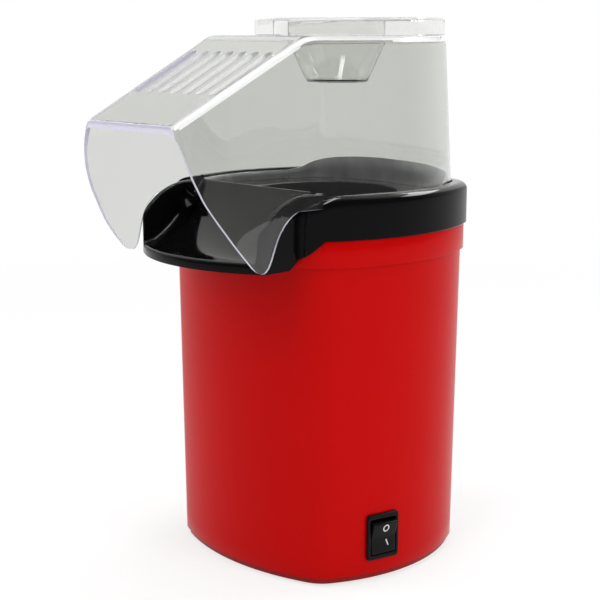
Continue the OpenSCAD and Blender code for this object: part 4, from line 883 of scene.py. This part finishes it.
# A rectangle with round corners, by the turn of its normal
def roundBox(halfW, halfH, radius, steps=7):
    turn = np.concatenate([np.linspace(q, q + np.pi / 2, steps) for q in (0, np.pi / 2, np.pi, 3 * np.pi / 2)])
    sx, sy = np.repeat([1, -1, -1, 1], steps), np.repeat([1, 1, -1, -1], steps)
    return sx * (halfW - radius) + radius * np.cos(turn), sy * (halfH - radius) + radius * np.sin(turn)


# Switch frame: rows of (half width, half height, corner, distance out) go up the sleeve behind the wall, round the
# bezel, and down the opening to the bottom of its well
def switchFrameParts(s):
    gap, front, well, rows = s["gap"], s["gap"] + s["proud"], -s["wellDepth"], []
    for halfW, halfH, radius, out in (
            (8.5, 10.5, 0.6, -s["depth"]), (8.55, 10.55, 0.6, gap - 0.3), (8.6, 10.6, 0.8, gap), (9.6, 12.35, 1.8, gap),
            (9.7, 12.45, 1.8, gap + 0.1), (9.7, 12.45, 1.8, front - 0.9), (9.57, 12.32, 1.7, front - 0.42),
            (9.25, 12.0, 1.5, front - 0.08), (8.9, 11.65, 1.3, front), (8.3, 10.2, 0.9, front),
            (8.02, 9.8, 0.7, front - 0.12), (7.9, 9.65, 0.6, front - 0.5), (7.9, 9.65, 0.5, -4), (7.9, 9.65, 0.5, well),
            (0.0, 0.0, 0.0, well), (0.0, 0.0, 0.0, -s["depth"])):
        rows.append(onWall(out, *roundBox(halfW, halfH, radius)))
    return [skin(np.stack(rows), wrapRows=True, wrapColumns=True)]


# face is the upper half of the rocker's front as (up, out); sides are (distance in, inset) of its bevel
rockerSet = {"half": 7.5, "tilt": 7.0, "pivot": -3.0, "pinR": 1.2, "pinHalf": 8.5,
             "face": [(0, 5.0), (1.2, 5.12), (3.0, 5.42), (5.0, 5.75), (7.0, 6.05), (8.2, 6.2)],
             "back": [(8.5, 6.05), (8.72, 5.6), (8.75, 3.4), (2.5, -2)],
             "sides": [(0, 0.55), (0.08, 0.25), (0.3, 0.06), (0.6, 0)]}


# From the tilted rocker's frame to the object's: turned about its pin by the tilt
def rockerPlace(out, along, up, s=rockerSet):
    c, k = math.cos(math.radians(s["tilt"])), math.sin(math.radians(s["tilt"]))
    return onWall(s["pivot"] + out * c + up * k, along, -out * k + up * c)


# Rocker: its side view, two shallow hollow faces that meet at a soft ridge, carried across with bevelled sides
def rockerParts(s):
    upper = np.array(s["face"] + s["back"], float)
    up, out = np.concatenate([upper[:0:-1] * (-1, 1), upper]).T
    outward, upward, rows = np.sign(out - out.mean()), np.where(up < 0, -1, 1), []
    for side in (-1, 1):
        for distance, inset in s["sides"][::-side]:
            along = side * (s["half"] - distance)
            rows.append(rockerPlace(out - outward * inset, along, up - upward * inset))
    turn = np.linspace(0, 2 * np.pi, 24, endpoint=False)
    pin = [onWall(s["pivot"] + s["pinR"] * np.cos(turn), side * s["pinHalf"], s["pinR"] * np.sin(turn))
           for side in (-1, 1)]
    return [skin(np.stack(grid), wrapColumns=True, ends=True) for grid in (rows, pin)]


markSet = {"ringAt": (0.59, 5.49), "ringHalf": (1.9, 2.15), "line": 0.7, "barFrom": (1.45, -1.36),
           "barTo": (2.77, -4.67), "sunk": -0.05, "lift": 0.03}


# The two marks stand a few hundredths of a millimetre proud: a ring, and a bar, both following the rocker's face
def markParts(s):
    def onFace(along, up, lift):
        return rockerPlace(np.interp(np.abs(up), *np.array(rockerSet["face"]).T) + lift, along, up)

    turn, low, high = np.linspace(0, 2 * np.pi, 40, endpoint=False), s["sunk"], s["lift"]
    ring = [onFace(s["ringAt"][0] + (s["ringHalf"][0] - inset) * np.cos(turn),
                   s["ringAt"][1] + (s["ringHalf"][1] - inset) * np.sin(turn), lift)
            for inset, lift in ((0.0, low), (0.0, high), (s["line"], high), (s["line"], low))]
    start, run = np.array(s["barFrom"]), np.array(s["barTo"]) - np.array(s["barFrom"])
    side = np.array([-run[1], run[0]]) / np.linalg.norm(run) * s["line"] / 2
    middle = start + run * np.linspace(0, 1, 9)[:, None]
    bar = [onFace(*(middle + side * shift).T, lift) for shift, lift in ((-1, low), (-1, high), (1, high), (1, low))]
    return [skin(np.stack(ring), wrapRows=True, wrapColumns=True), skin(np.stack(bar), wrapRows=True, ends=True)]


addPiece("switch_bezel", switchFrameParts(switchSet), [blackNylon], "body", "switch_frame")
addPiece("switch_rocker_cap", rockerParts(rockerSet), [blackNylon], "rocker_body", "switch_rocker")
addPiece("switch_marks", markParts(markSet), [markInk], "rocker_body", None)
print("switch made")


floorSet = {"half": 4000.0, "rings": 40, "columns": 96, "nearShare": 0.7, "nearRadius": 420.0, "farRadius": 1100.0}


# A flat disc whose radius grows with the square of the ring's number. The camera, reflections and clear plastic see it
# whitened: a little near the object, where its shadow stays, and fully further out.
def makeFloor(s):
    material, tree, shader = newMaterial("palePaper", {"Roughness": 0.9, "IOR": 1.4}, output=False)
    place = shadeDrift(tree, shader, ("f4f4f4", "f2f2f2"), 300)
    radius = addNode(tree, "ShaderNodeVectorMath", {0: place}, operation="LENGTH").outputs["Value"]
    share = addNode(tree, "ShaderNodeMapRange", {"Value": radius, "From Min": s["nearRadius"] * mm, "From Max":
                    s["farRadius"] * mm, "To Min": s["nearShare"], "To Max": 1.0}, interpolation_type="SMOOTHSTEP")
    path = addNode(tree, "ShaderNodeLightPath").outputs
    glow = addNode(tree, "ShaderNodeEmission", {"Color": white, "Strength": 1.0})
    looks = addNode(tree, "ShaderNodeMath", {0: path["Is Camera Ray"], 1: path["Is Transmission Ray"]},
                    operation="MAXIMUM")
    seen = addNode(tree, "ShaderNodeMath", {0: looks, 1: path["Is Glossy Ray"]}, operation="MAXIMUM")
    part = addNode(tree, "ShaderNodeMath", {0: seen, 1: share}, operation="MULTIPLY")
    mix = addNode(tree, "ShaderNodeMixShader", {0: part, 1: shader, 2: glow})
    addNode(tree, "ShaderNodeOutputMaterial", {"Surface": mix})
    ring = np.linspace(0, 1, s["rings"])[:, None] ** 2 * s["half"]
    turn = np.linspace(0, 2 * np.pi, s["columns"], endpoint=False)
    disc = skin(pointsOf(ring * np.cos(turn), ring * np.sin(turn), 0.0), wrapColumns=True)
    makeObject("studioFloor", [disc], [material], closed=False)


makeFloor(floorSet)
print("floor made")
